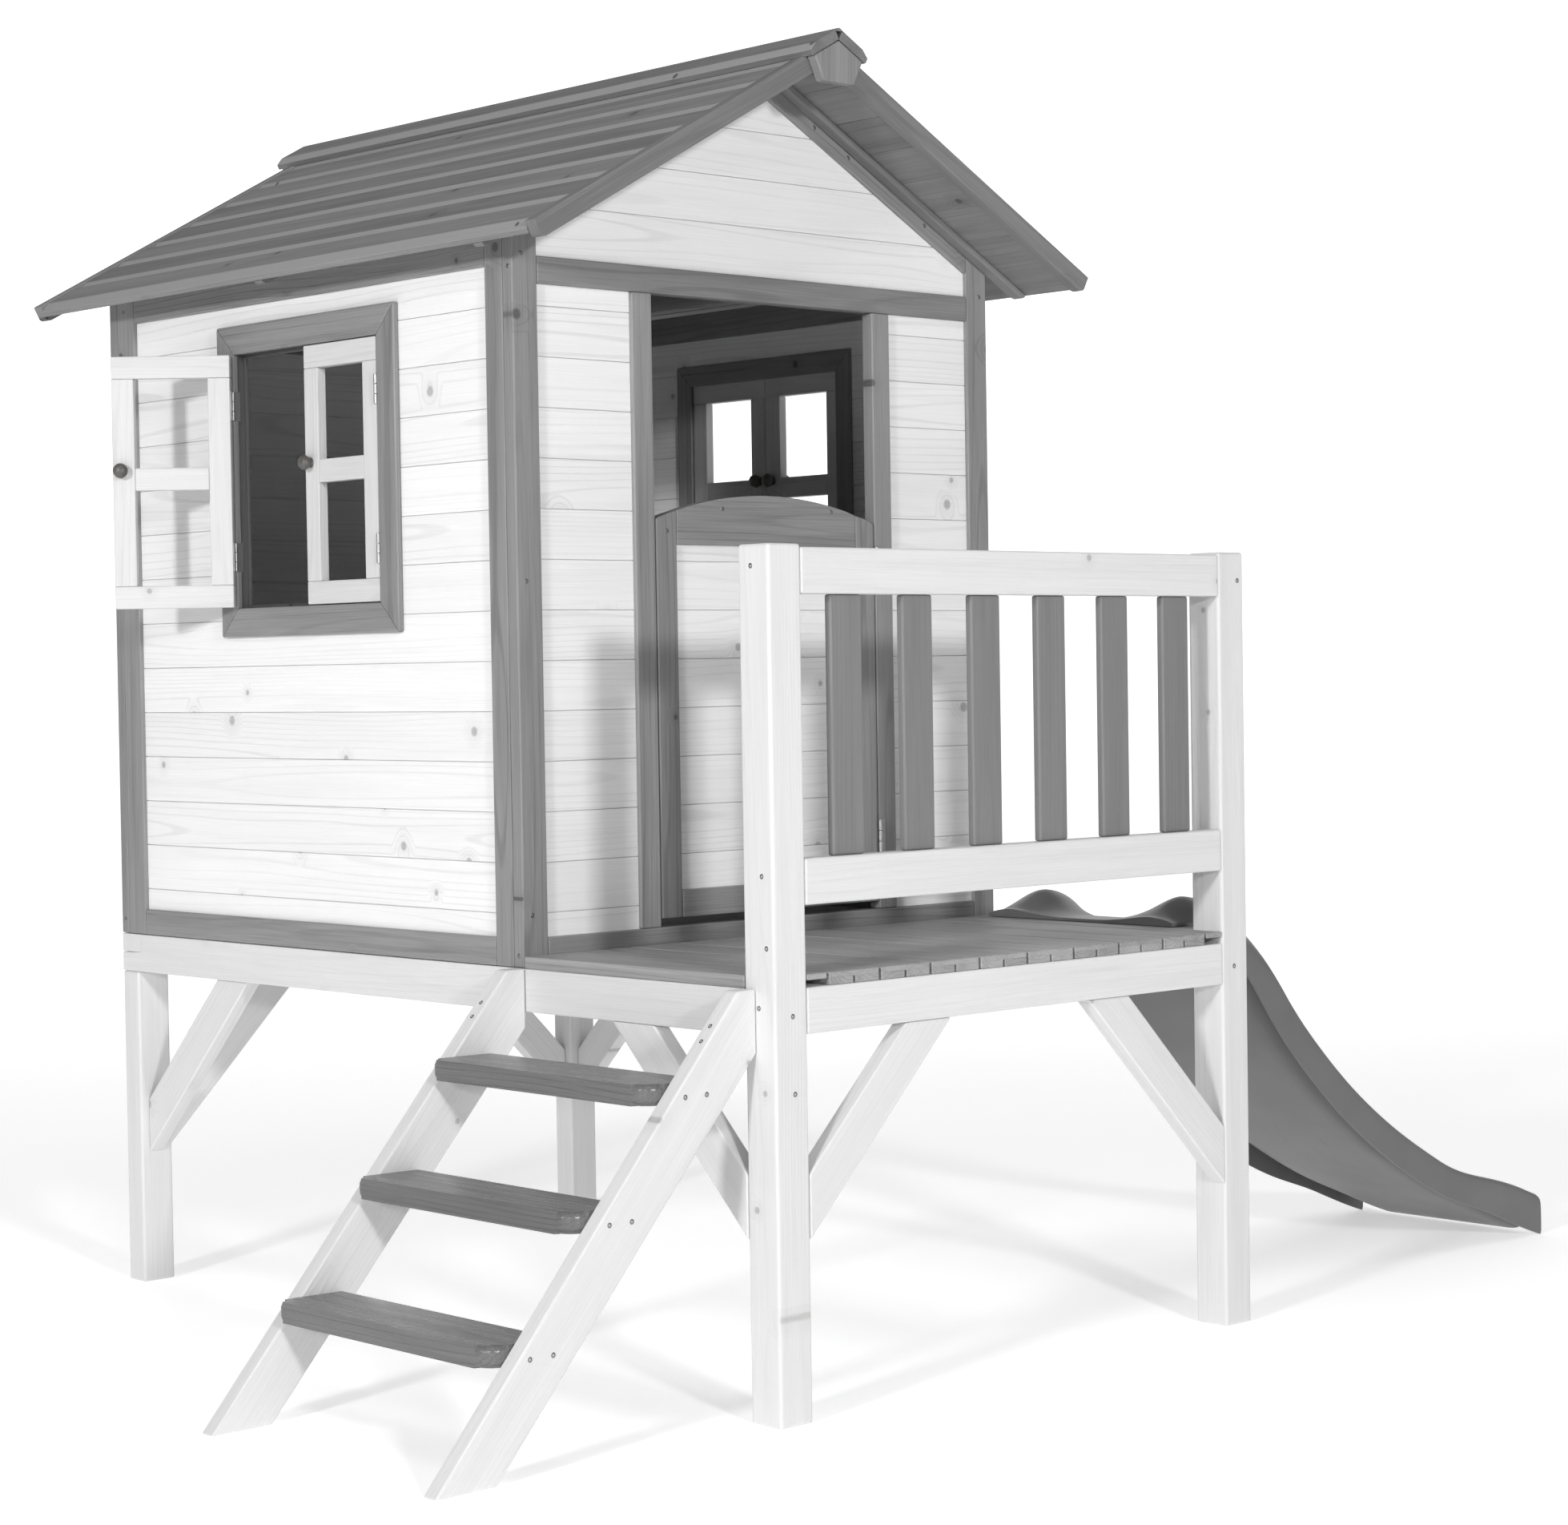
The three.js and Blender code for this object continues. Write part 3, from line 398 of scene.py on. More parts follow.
# half-lapped beams under the house
LAP_GAP = 0.3
LAP_SEAM = 1.2
BACK_INSET = 0.9
back = span("beam_house_back")
LAP_Z = (back[4] + back[5]) / 2
for node in ("beam_house_left", "beam_house_right"):
    x0, x1, y0, y1, z0, z1 = span(node)
    lap = y1 - (back[3] - back[2])
    boards = Boards()
    boards.plank([(y0, z0), (y1, z0), (y1, LAP_Z), (lap, LAP_Z), (lap, z1), (y0, z1)],
                 x1 - x0, side(x0), bevel=1.5)
    boards.stand_in(node, TIMBER, "white_wood")
x0, x1, y0, y1, z0, z1 = back
beam = span("beam_house_left")[1] - span("beam_house_left")[0] + LAP_GAP
boards = Boards()
seam = LAP_Z + LAP_SEAM
outline = [(x0 + beam, z0), (x1 - beam, z0), (x1 - beam, seam), (x1, seam),
           (x1, z1), (x0, z1), (x0, seam), (x0 + beam, seam)]
boards.plank(outline, y1 - y0 - BACK_INSET, front(y0 + BACK_INSET), bevel=1.2)
boards.stand_in("beam_house_back", TIMBER, "white_wood")

# braces at 45 degrees, cut square to the post and to the beam over a length of CUT
CUT = 85.0


def brace(node, sideways, flip):
    """One brace along the side of the house, or else along its front or back."""
    x0, x1, y0, y1, z0, z1 = span(node)
    a0, a1 = (y0, y1) if sideways else (x0, x1)
    outline = [(a0, z0 + CUT), (a0, z0), (a1, z1), (a1 - CUT, z1)]
    if flip:
        outline = [(a0 + a1 - u, v) for u, v in outline]
    boards = Boards()
    thickness, plane = (x1 - x0, side(x0)) if sideways else (y1 - y0, front(y0))
    angle = -math.pi / 4 if flip else math.pi / 4
    boards.plank(outline, thickness, plane, angle=angle, bevel=2.5, segments=3)
    boards.stand_in(node, TIMBER, "white_wood")


CORNERS = [(end, hand) for end in ("front", "back") for hand in ("left", "right")]
for end, hand in CORNERS:
    brace(f"brace_{end}_{hand}_side", True, end == "back")
for end, hand in CORNERS:
    brace(f"brace_{end}_{hand}_{end}", False, hand == "right")

# ------------------------------------------------------------------ floors
BOARDS = 10
BOARD_GAP = 4.4
KERF, KERF_DEEP = 3.6, 9.0
OVERLAP = 1.5
NOTCH_GAP = 0.6
x0, x1, y0, y1, z0, z1 = span("deck_veranda")
pitch = (x1 - x0) / BOARDS
post = span("post_front_left")
notch_x = post[1] - post[0] + NOTCH_GAP
notch_y = post[3] + NOTCH_GAP

# each board is a plank over two narrower ones, which leave a saw kerf along its underside
boards = Boards()
for i in range(BOARDS):
    a0 = x0 + i * pitch + (BOARD_GAP / 2 if i else 0)
    a1 = x0 + (i + 1) * pitch - (BOARD_GAP / 2 if i < BOARDS - 1 else 0)
    outline = rectangle(a0, a1, y0, y1)
    if i == 0:
        outline = [(notch_x, y0), (a1, y0), (a1, y1), (a0, y1), (a0, notch_y), (notch_x, notch_y)]
    if i == BOARDS - 1:
        notch = x1 - notch_x
        outline = [(a0, y0), (notch, y0), (notch, notch_y), (a1, notch_y), (a1, y1), (a0, y1)]
    upper = to_world(X, Y, Z, (0, 0, z0 + KERF_DEEP))
    boards.plank(outline, z1 - z0 - KERF_DEEP, upper, angle=math.pi / 2, bevel=1.6)
    middle = (a0 + a1) / 2
    for k0, k1 in ((a0, middle - KERF / 2), (middle + KERF / 2, a1)):
        beside_post = (i == 0 and k0 < notch_x) or (i == BOARDS - 1 and k1 > x1 - notch_x)
        lower = rectangle(k0, k1, notch_y if beside_post else y0, y1)
        boards.plank(lower, KERF_DEEP + OVERLAP, to_world(X, Y, Z, (0, 0, z0)), angle=math.pi / 2, bevel=1.4)
boards.stand_in("deck_veranda", DECK, "deck_wood")

x0, x1, y0, y1, z0, z1 = span("floor_house")
FLOOR_ROWS = 11
FLOOR_GAP = 0.5
pitch = (y1 - y0) / FLOOR_ROWS
boards = Boards()
for i in range(FLOOR_ROWS):
    outline = rectangle(x0, x1, y0 + i * pitch + FLOOR_GAP, y0 + (i + 1) * pitch - FLOOR_GAP)
    boards.plank(outline, z1 - z0, to_world(X, Y, Z, (0, 0, z0)), bevel=1.5)
boards.stand_in("floor_house", DECK, "deck_wood")

# ------------------------------------------------------------------ walls
WALL_T = 22.0
STILE = 44.0
SILL_TOP = 603.0
RAIL_LOW, RAIL_HIGH = 1511.0, 1549.0
DOOR_X0, DOOR_X1, JAMB = 253.0, 695.0, 37.0
FIT = 0.3  # play between neighbouring frame members
wall = span("wall_front")
WALL_Z, APEX = wall[4], wall[5]
MID = HOUSE_W / 2
SLOPE = 0.547  # of the roof and of the gable members, whose depth is MEMBER
MEMBER = 34.0

# wall boards: set in behind the frame's face, tucked behind its members by TUCK
CLAD_IN = 7.0
CLAD_T = 10.0
TUCK = 8.0
COURSE = 70.4
COURSE_TOP = 1481.0
SEAM = 0.45
TONGUE = 3.0
SHORTEST = 12.0  # a course lower than this joins its neighbour


def gable(x, drop=0.0):
    """Height of the gable's slope over x, lowered by drop."""
    return APEX - SLOPE * abs(x - MID) - drop


def courses(z0, z1):
    """Heights where the wall boards meet, between z0 and z1."""
    level = COURSE_TOP
    while level - COURSE > z0:
        level -= COURSE
    cuts = [z0]
    while level < z1:
        if z0 + SHORTEST < level < z1 - SHORTEST:
            cuts.append(level)
        level += COURSE
    return cuts + [z1]


def course(a0, a1, low, high, hole):
    """Outlines of one course of boards, sawn around the hole where they meet it."""
    if hole is None or hole[3] <= low or hole[2] >= high:
        return [rectangle(a0, a1, low, high)]
    h0, h1, bottom, top = hole
    if bottom > low:
        return [[(a0, low), (a1, low), (a1, high), (h1, high),
                 (h1, bottom), (h0, bottom), (h0, high), (a0, high)]]
    if top < high:
        return [[(a0, low), (h0, low), (h0, top), (h1, top),
                 (h1, low), (a1, low), (a1, high), (a0, high)]]
    return [rectangle(a0, h0, low, high), rectangle(h1, a1, low, high)]


def tongue(boards, matrix, outlines):
    """Thin strips that close the joints between neighbouring boards, centred in their thickness."""
    centred = matrix @ Matrix.Translation((0, 0, CLAD_T / 4 * MM))
    for outline in outlines:
        boards.plank(outline, CLAD_T / 2, centred, bevel=0, tone=DARK_JOINT)


def clad(boards, matrix, a0, a1, z0, z1, hole=None):
    """Horizontal boards from z0 to z1 between a0 and a1, left open at the hole."""
    levels = courses(z0, z1)
    for low, high in zip(levels, levels[1:]):
        for outline in course(a0, a1, low + SEAM, high - SEAM, hole):
            boards.plank(outline, CLAD_T, matrix, bevel=0.6)
        if low > z0:
            tongue(boards, matrix, course(a0, a1, low - TONGUE, low + TONGUE, hole))


def gable_boards(boards, matrix, edge, drop):
    """Boards of the gable triangle, each sawn to the slope at both ends."""
    def left_end(z):
        return max(edge, MID - max(0.0, (APEX - drop - z) / SLOPE))

    corner = gable(edge, drop)
    levels = courses(RAIL_HIGH, gable(MID, drop) - 1)
    for low, high in zip(levels, levels[1:]):
        left_low, left_high = left_end(low), left_end(high)
        if low > RAIL_HIGH:
            left = left_end(low + TONGUE)
            tongue(boards, matrix, [rectangle(left, HOUSE_W - left, low - TONGUE, low + TONGUE)])
        low, high = low + SEAM, high - SEAM
        cornered = low < corner < high
        pointed = HOUSE_W - 2 * left_high <= 2
        outline = [(left_low, low), (HOUSE_W - left_low, low)]
        outline += [(HOUSE_W - edge, corner)] if cornered else []
        outline += [(MID, high)] if pointed else [(HOUSE_W - left_high, high), (left_high, high)]
        outline += [(edge, corner)] if cornered else []
        boards.plank(outline, CLAD_T, matrix, bevel=0.8)


def mirrored(points):
    return [(HOUSE_W - u, v) for u, v in points]


def gable_wall(prefix, y, clad_y, door):
    """Frame and boards of an end wall whose frame starts at y and boards at clad_y."""
    plane = front(y)
    frame_boards = Boards()
    inner = STILE + FIT
    stile = [(0, WALL_Z), (STILE, WALL_Z), (STILE, gable(STILE)), (0, gable(0))]
    member = [(inner, gable(STILE, MEMBER)), (MID - 0.2, gable(MID, MEMBER)), (MID - 0.2, APEX),
              (inner, gable(STILE))]
    for mirror in (False, True):
        rise = -math.atan(SLOPE) if mirror else math.atan(SLOPE)
        for outline, angle in ((stile, math.pi / 2), (member, rise)):
            outline = mirrored(outline) if mirror else outline
            frame_boards.plank(outline, WALL_T, plane, angle=angle, bevel=2.0)
    for low, high in ((RAIL_LOW, RAIL_HIGH), (WALL_Z, SILL_TOP)):
        frame_boards.plank(rectangle(inner, HOUSE_W - inner, low, high), WALL_T, plane, bevel=2.0)
    jambs = [(DOOR_X0 - JAMB, DOOR_X0), (DOOR_X1, DOOR_X1 + JAMB)] if door else []
    for u0, u1 in jambs:
        jamb = rectangle(u0, u1, SILL_TOP + FIT, RAIL_LOW - FIT)
        frame_boards.plank(jamb, WALL_T, plane, angle=math.pi / 2, bevel=2.0)
    frame_boards.piece(f"v_{prefix}_frame", GREY, "playhouse", "grey_wood", [prefix])
    panel = Boards()
    plane = front(clad_y)
    gable_boards(panel, plane, STILE - TUCK, MEMBER - TUCK)
    edges = [STILE, HOUSE_W - STILE]
    if door:
        edges = [STILE, DOOR_X0 - JAMB, DOOR_X1 + JAMB, HOUSE_W - STILE]
    for left, right in zip(edges[::2], edges[1::2]):
        clad(panel, plane, left - TUCK, right + TUCK, SILL_TOP - TUCK, RAIL_LOW + TUCK)
    panel.piece(f"v_{prefix}_boards", WHITE, "playhouse", "white_wood")


gable_wall("wall_front", 0.0, CLAD_IN, True)
gable_wall("wall_back", HOUSE_D - WALL_T, HOUSE_D - CLAD_IN - CLAD_T, False)

# side walls with their windows
TRIM = 44.0
trim = span("window_trim_left")
WIN_Y0, WIN_Y1, WIN_Z0, WIN_Z1 = trim[2] + TRIM, trim[3] - TRIM, trim[4] + TRIM, trim[5] - TRIM
side_box = span("wall_left")
SIDE_Y0, SIDE_Y1, SIDE_TOP = side_box[2], side_box[3], side_box[5]
FRONT_STILE, BACK_STILE = 40.0, 48.0
SIDE_CLAD_TOP = 1537.0
REVEAL = 3.0  # thickness of the lining inside the window opening
LINING_OUT, LINING_WIDTH = 30.0, 35.0
LINING_FIT = 0.2
MITRE_GAP = 0.15


def mitred(boards, matrix, thickness, y0, y1, z0, z1, width, bevel):
    """A picture frame of four boards whose corners meet at 45 degrees."""
    left, right, low, high = y0 + width, y1 - width, z0 + width, z1 - width
    g = MITRE_GAP
    for outer, inner in ((z1, high), (z0, low)):
        outline = [(y0 + g, outer), (y1 - g, outer), (right - g, inner), (left + g, inner)]
        boards.plank(outline, thickness, matrix, bevel=bevel)
    for outer, inner in ((y0, left), (y1, right)):
        outline = [(outer, z0 + g), (inner, low + g), (inner, high - g), (outer, z1 - g)]
        boards.plank(outline, thickness, matrix, angle=math.pi / 2, bevel=bevel)


def around_window(margin):
    return WIN_Y0 - margin, WIN_Y1 + margin, WIN_Z0 - margin, WIN_Z1 + margin


def side_wall(name, outer, inward, lining_stain_and_shade):
    """outer is the X of the outer face, inward +1 or -1 the way into the house, and the last argument the
    lining's material, which on the ladder-side wall is near-black to paint the shade in the window opening.
    """
    def plane(near, thick):
        start = outer + inward * near
        return side(min(start, start + inward * thick))

    frame_boards = Boards()
    main = plane(0, WALL_T)
    inner0, inner1 = SIDE_Y0 + FRONT_STILE, SIDE_Y1 - BACK_STILE
    for y0, y1 in ((SIDE_Y0, inner0), (inner1, SIDE_Y1)):
        outline = rectangle(y0, y1, WALL_Z, SIDE_TOP)
        frame_boards.plank(outline, WALL_T, main, angle=math.pi / 2, bevel=2.0)
    y0, y1 = inner0 + FIT, inner1 - FIT
    for low, high in ((WALL_Z, SILL_TOP), (SIDE_CLAD_TOP, SIDE_TOP)):
        frame_boards.plank(rectangle(y0, y1, low, high), WALL_T, main, bevel=2.0)
    frame_boards.piece(f"v_{name}_frame", GREY, "playhouse", "grey_wood", [name])

    lining = Boards()
    behind = CLAD_IN + CLAD_T + LINING_FIT
    depth = WALL_T - behind
    mitred(lining, plane(behind, depth), depth, *around_window(LINING_OUT), LINING_WIDTH, 1.0)
    depth = CLAD_T + 2 * LINING_FIT
    mitred(lining, plane(CLAD_IN - 2 * LINING_FIT, depth), depth,
           *around_window(REVEAL - LINING_FIT / 2), REVEAL - LINING_FIT, 0.3)
    lining.piece(f"v_{name}_lining", lining_stain_and_shade, "playhouse", "grey_wood")

    panel = Boards()
    clad(panel, plane(CLAD_IN, CLAD_T), y0 - TUCK, y1 + TUCK, SILL_TOP - TUCK, SIDE_CLAD_TOP + TUCK,
         around_window(REVEAL))
    panel.piece(f"v_{name}_boards", WHITE, "playhouse", "white_wood")


# the ladder-side window's lining is painted near-black as shade; the far window's has the grey wood
side_wall("wall_left", 0.0, 1, PAINTED_SHADE_LINING)
side_wall("wall_right", HOUSE_W, -1, GREY)
for node in ("window_trim_left", "window_trim_right"):
    x0, x1, y0, y1, z0, z1 = span(node)
    boards = Boards()
    mitred(boards, side(x0), x1 - x0, y0, y1, z0, z1, TRIM, 2.0)
    boards.stand_in(node, GREY, "grey_wood")

# ------------------------------------------------------------------ shutters
joints = {joint["child"]: joint for joint in frame["joints"]}
BAR = 34.0
BAR_FIT = 0.2
THICK = 16.0
FACE = 2.0  # how far the closed shutters stand out from the wall
HINGE_OUT = 4.0  # how far their hinge lines do
SIDE_GAP = 1.5
WIDTH = 181.0
HEIGHT = WIN_Z1 - WIN_Z0 - 2 * SIDE_GAP
KNOB_INSET = 14.0
KNOB_RISE, BAR_RISE = 18.0, 5.0  # above the middle of the shutter
HINGE_HALF = 22.0


def lathe(profile, steps=32):
    """Verts and faces of a closed profile of (radius, height) mm turned about the third axis."""
    verts, faces = [], []
    for i in range(steps):
        angle = 2 * math.pi * i / steps
        verts += [Vector((r * math.cos(angle), r * math.sin(angle), h)) * MM for r, h in profile]
    count = len(profile)
    for i in range(steps):
        j = (i + 1) % steps
        for k in range(count - 1):
            faces.append((i * count + k, j * count + k, j * count + k + 1, i * count + k + 1))
    return verts, faces


def solid(name, verts, faces, material, body, replaces=(), smooth=40):
    """A piece from loose faces: doubled points joined and every face turned outwards."""
    mesh = bpy.data.meshes.new(name)
    mesh.from_pydata([tuple(v) for v in verts], [], faces)
    bm = bmesh.new()
    bm.from_mesh(mesh)
    bmesh.ops.remove_doubles(bm, verts=bm.verts, dist=1e-6)
    bmesh.ops.dissolve_degenerate(bm, edges=bm.edges, dist=1e-7)
    bmesh.ops.recalc_face_normals(bm, faces=bm.faces)
    bm.to_mesh(mesh)
    bm.free()
    finish_piece(name, mesh, material, body, replaces, smooth)


def knob_profile():
    """Section of a mushroom knob on either side of the shutter, on one stem: radius and height."""
    half = THICK / 2
    tip = half + 20
    curve = [(0.01, tip), (4, tip - 0.3), (7.5, tip - 1.6), (10, tip - 4), (11.3, tip - 7), (11.4, tip - 9.5),
             (10.2, tip - 12), (8.2, tip - 13.6), (6.4, tip - 15), (6.2, tip - 17.5), (7.6, tip - 19.2),
             (7.6, half + 0.3), (4, half + 0.3)]
    return curve + [(r, -h) for r, h in reversed(curve)]


def slab(verts, faces, matrix, low, high):
    """A thin plate between two opposite corners in mm."""
    base = len(verts)
    (a0, b0, c0), (a1, b1, c1) = low, high
    for c in (c0, c1):
        verts += [matrix @ (Vector((a, b, c)) * MM) for a, b in ((a0, b0), (a1, b0), (a1, b1), (a0, b1))]
    faces += [tuple(base + i for i in ids) for ids in
              ((3, 2, 1, 0), (4, 5, 6, 7), (0, 1, 5, 4), (1, 2, 6, 5), (2, 3, 7, 6), (3, 0, 4, 7))]


def turned_part(verts, faces, matrix, profile, steps):
    """Add a lathe shape at a place and keep the lists in step."""
    v, f = lathe(profile, steps)
    faces += [tuple(i + len(verts) for i in face) for face in f]
    verts += [matrix @ p for p in v]


def knuckle(verts, faces, matrix, radius, low, high):
    """Three barrels of a hinge one above the other."""
    step = (high - low) / 3
    for part in range(3):
        bottom, top = low + part * step + 0.3, low + (part + 1) * step - 0.3
        turned_part(verts, faces, matrix, [(0.01, bottom), (radius - 0.4, bottom), (radius, bottom + 0.4),
                                           (radius, top - 0.4), (radius - 0.4, top), (0.01, top)], 16)


def butt_hinges(name, body, matrix, fixed):
    """Two small hinges: barrel and leaf on the shutter, or only the fixed leaves on the frame."""
    verts, faces = [], []
    for z in (HEIGHT * 0.2, HEIGHT * 0.8):
        low, high = z - HINGE_HALF, z + HINGE_HALF
        if fixed:
            slab(verts, faces, matrix, (2.6, -0.8, low), (13, 0.25, high))
        else:
            knuckle(verts, faces, matrix, 3.0, low, high)
            slab(verts, faces, matrix, (2.6, 0.4, low), (15.5, 1.45, high))
    solid(name, verts, faces, STEEL, body)


def hang_shutter(body, inward, away, opened):
    """One shutter with its knob and hinges, opened by an angle about its own hinge line.

    inward is the way into the house along X, away the way from the hinge to the free edge along Y.
    """
    pivot = Vector(joints[body]["pos_m"])
    pivot.z = (WIN_Z0 + SIDE_GAP) * MM
    turn = Matrix.Rotation(opened * inward * away, 4, "Z")
    u = turn @ (Y * away)
    w = turn @ (X * inward)
    matrix = Matrix.Translation(pivot) @ Matrix((u, Z, w)).transposed().to_4x4()
    near = matrix @ Matrix.Translation(Vector((SIDE_GAP, 0, HINGE_OUT - FACE)) * MM)

    boards = Boards()
    for low, high in ((0, BAR), (HEIGHT - BAR, HEIGHT)):
        boards.plank(rectangle(0, WIDTH, low, high), THICK, near, bevel=1.5)
    for left in (0, WIDTH - BAR):
        upright = rectangle(left, left + BAR, BAR + BAR_FIT, HEIGHT - BAR - BAR_FIT)
        boards.plank(upright, THICK, near, angle=math.pi / 2, bevel=1.5)
    middle = HEIGHT / 2 + BAR_RISE
    glazing = rectangle(BAR + BAR_FIT, WIDTH - BAR - BAR_FIT, middle - BAR / 2, middle + BAR / 2)
    boards.plank(glazing, THICK, near, bevel=1.5)
    boards.piece(f"v_{body}", SHUTTER, body, "white_wood", [body])

    verts, faces = lathe(knob_profile())
    spot = Vector((WIDTH - KNOB_INSET, HEIGHT / 2 + KNOB_RISE, THICK / 2)) * MM
    place = near @ Matrix.Translation(spot)
    knob = f"{body}_knob"
    solid(f"v_{knob}", [place @ v for v in verts], faces, KNOB, body, [knob], smooth=50)

    moving = Matrix.Translation(pivot) @ Matrix((w, u, Z)).transposed().to_4x4()
    butt_hinges(f"v_{body}_hinges", body, moving, False)
    still = Matrix.Translation(pivot) @ Matrix((X * inward, Y * away, Z)).transposed().to_4x4()
    butt_hinges(f"v_{body}_hinge_plates", "playhouse", still, True)


hang_shutter("shutter_left_front", 1, 1, 0.0)
hang_shutter("shutter_left_back", 1, -1, math.radians(133))
hang_shutter("shutter_right_front", -1, 1, 0.0)
hang_shutter("shutter_right_back", -1, -1, 0.0)

# ------------------------------------------------------------------ half door
x0, x1, y0, y1, z0, z1 = span("door_leaf")
DOOR_STILE = 39.0
SHOULDER = 1190.0
PANEL_TOP, PANEL_BOTTOM = 1153.0, 655.0
DOOR_TUCK = 6.0


def arch(x):
    """Height of the door's round top over x."""
    half = (x1 - x0) / 2
    rise = z1 - SHOULDER
    radius = (half * half + rise * rise) / (2 * rise)
    return z1 - radius + math.sqrt(max(radius * radius - (x - (x0 + x1) / 2) ** 2, 0))


def under_arch(a0, a1, bottom, steps):
    """Outline between a0 and a1 from the bottom up to the round top."""
    top = [(a1 + (a0 - a1) * i / steps, arch(a1 + (a0 - a1) * i / steps)) for i in range(steps + 1)]
    return [(a0, bottom), (a1, bottom)] + top


boards = Boards()
plane = front(y0)
for left in (x0, x1 - DOOR_STILE):
    outline = under_arch(left, left + DOOR_STILE, z0, 3)
    boards.plank(outline, y1 - y0, plane, angle=math.pi / 2, bevel=2.0)
inner0, inner1 = x0 + DOOR_STILE + FIT, x1 - DOOR_STILE - FIT
boards.plank(under_arch(inner0, inner1, PANEL_TOP, 18), y1 - y0, plane, bevel=1.6)
boards.plank(rectangle(inner0, inner1, z0, PANEL_BOTTOM), y1 - y0, plane, bevel=2.0)
boards.piece("v_door_frame", GREY, "door", "grey_wood", ["door_leaf"])
boards = Boards()
clad(boards, front(y0 + 6), inner0 - DOOR_TUCK, inner1 + DOOR_TUCK,
     PANEL_BOTTOM - DOOR_TUCK, PANEL_TOP + DOOR_TUCK)
boards.piece("v_door_boards", WHITE, "door", "white_wood")

for node in ("door_hinge_lower", "door_hinge_upper"):
    x0, x1, y0, y1, z0, z1 = span(node)
    verts, faces = [], []
    barrel = Matrix.Translation(ORIGIN + Vector(((x0 + x1) / 2, (y0 + y1) / 2, 0)) * MM)
    knuckle(verts, faces, barrel, (x1 - x0) / 2, z0, z1)
    face = -(y0 + y1) / 2
    slab(verts, faces, barrel, (0, face - 1.3, z0), (13, face - 0.2, z1))
    solid(f"v_{node}", verts, faces, STEEL, "playhouse", [node])

# ------------------------------------------------------------------ roof
x0, x1, y0, y1, z0, z1 = span("roof_left")
EAVE_X, PEAK = x0, z1
LENGTH = math.hypot(1, SLOPE)  # along the slope for each millimetre across
BOARD_T = 18.0 / LENGTH
RAFTER_DEEP = 30.0 / LENGTH
RAFTER_T = 20.0
ROWS = 8
BOARD_PLAY = 0.4
RIDGE_PLAY = 0.5
EDGE, EDGE_FALL = 19.0, 8.0  # the wide bevel along the lower edge of each board, painted lighter as a highlight
BARGE = 20.3  # the barge rafters close the ends of the boards and stand above them by BARGE_UP
BARGE_UP = 2.0
RAFTERS = (y0, -WALL_T, 505.0, HOUSE_D + 2, y1 - RAFTER_T)
run = LENGTH * (MID - EAVE_X)
TO_LENGTH = Matrix(((1, 0, 0, 0), (0, 0, 1, 0), (0, 1, 0, 0), (0, 0, 0, 1)))


def slope_plane(flip, drop, y):
    """u runs up the slope from the eave, v out of the top surface, thickness towards +Y."""
    up = Vector((1 / LENGTH, 0, SLOPE / LENGTH))
    out = Vector((-SLOPE / LENGTH, 0, 1 / LENGTH))
    at = Vector((EAVE_X, y, PEAK - SLOPE * (MID - EAVE_X)))
    if flip:
        up.x, out.x = -up.x, -out.x
        at.x = HOUSE_W - at.x
    return to_world(up, Y, out, at - out * drop) @ TO_LENGTH


def roof_section(a0, a1):
    """Cross-section of one roof board, with a wide bevel along its lower edge."""
    top = BOARD_T
    return [(a0, 0), (a1, 0), (a1, top - 2), (a1 - 2, top), (a0 + EDGE, top), (a0, top - EDGE_FALL)]


def roof_boards(name, flip):
    boards = Boards()
    matrix = slope_plane(flip, BOARD_T, y0 + BARGE)
    for i in range(ROWS):
        a0 = i * run / ROWS
        a1 = (i + 1) * run / ROWS - BOARD_PLAY
        if i == ROWS - 1:
            a1 = run - BOARD_T * SLOPE - RIDGE_PLAY
        # pale marks the bevel's faces, which get a painted highlight
        boards.plank(roof_section(a0, a1), y1 - y0 - 2 * BARGE, matrix, angle=None, bevel=0.7, segments=1,
                     tone=rng.uniform(0.5, 1.0),
                     pale=lambda u, v: u < a0 + EDGE - 0.2 and v > BOARD_T - EDGE_FALL - 0.2)
    boards.piece(f"v_{name}_boards", ROOF, "playhouse", "roof_wood", [name])


def rafters(name, flip):
    """Barge rafters at both ends and plain ones under the boards, their feet rounded at the eave."""
    boards = Boards()
    stop = run - RAFTER_DEEP * SLOPE - RIDGE_PLAY
    for y in RAFTERS:
        outer = y in (RAFTERS[0], RAFTERS[-1])
        top = RAFTER_DEEP + BARGE_UP if outer else RAFTER_DEEP - BOARD_T - FIT
        start = 95.0 if y == RAFTERS[3] else 3.0
        crest = run - (RAFTER_DEEP - top) * SLOPE - RIDGE_PLAY
        outline = [(start + 10, 0), (stop, 0), (crest, top), (start, top), (start, 6), (start + 3, 2)]
        boards.plank(outline, RAFTER_T, slope_plane(flip, RAFTER_DEEP, y), bevel=1.5)
    boards.piece(f"v_{name}_rafters", ROOF, "playhouse", "roof_wood")


for name, flip in (("roof_left", False), ("roof_right", True)):
    roof_boards(name, flip)
    rafters(name, flip)

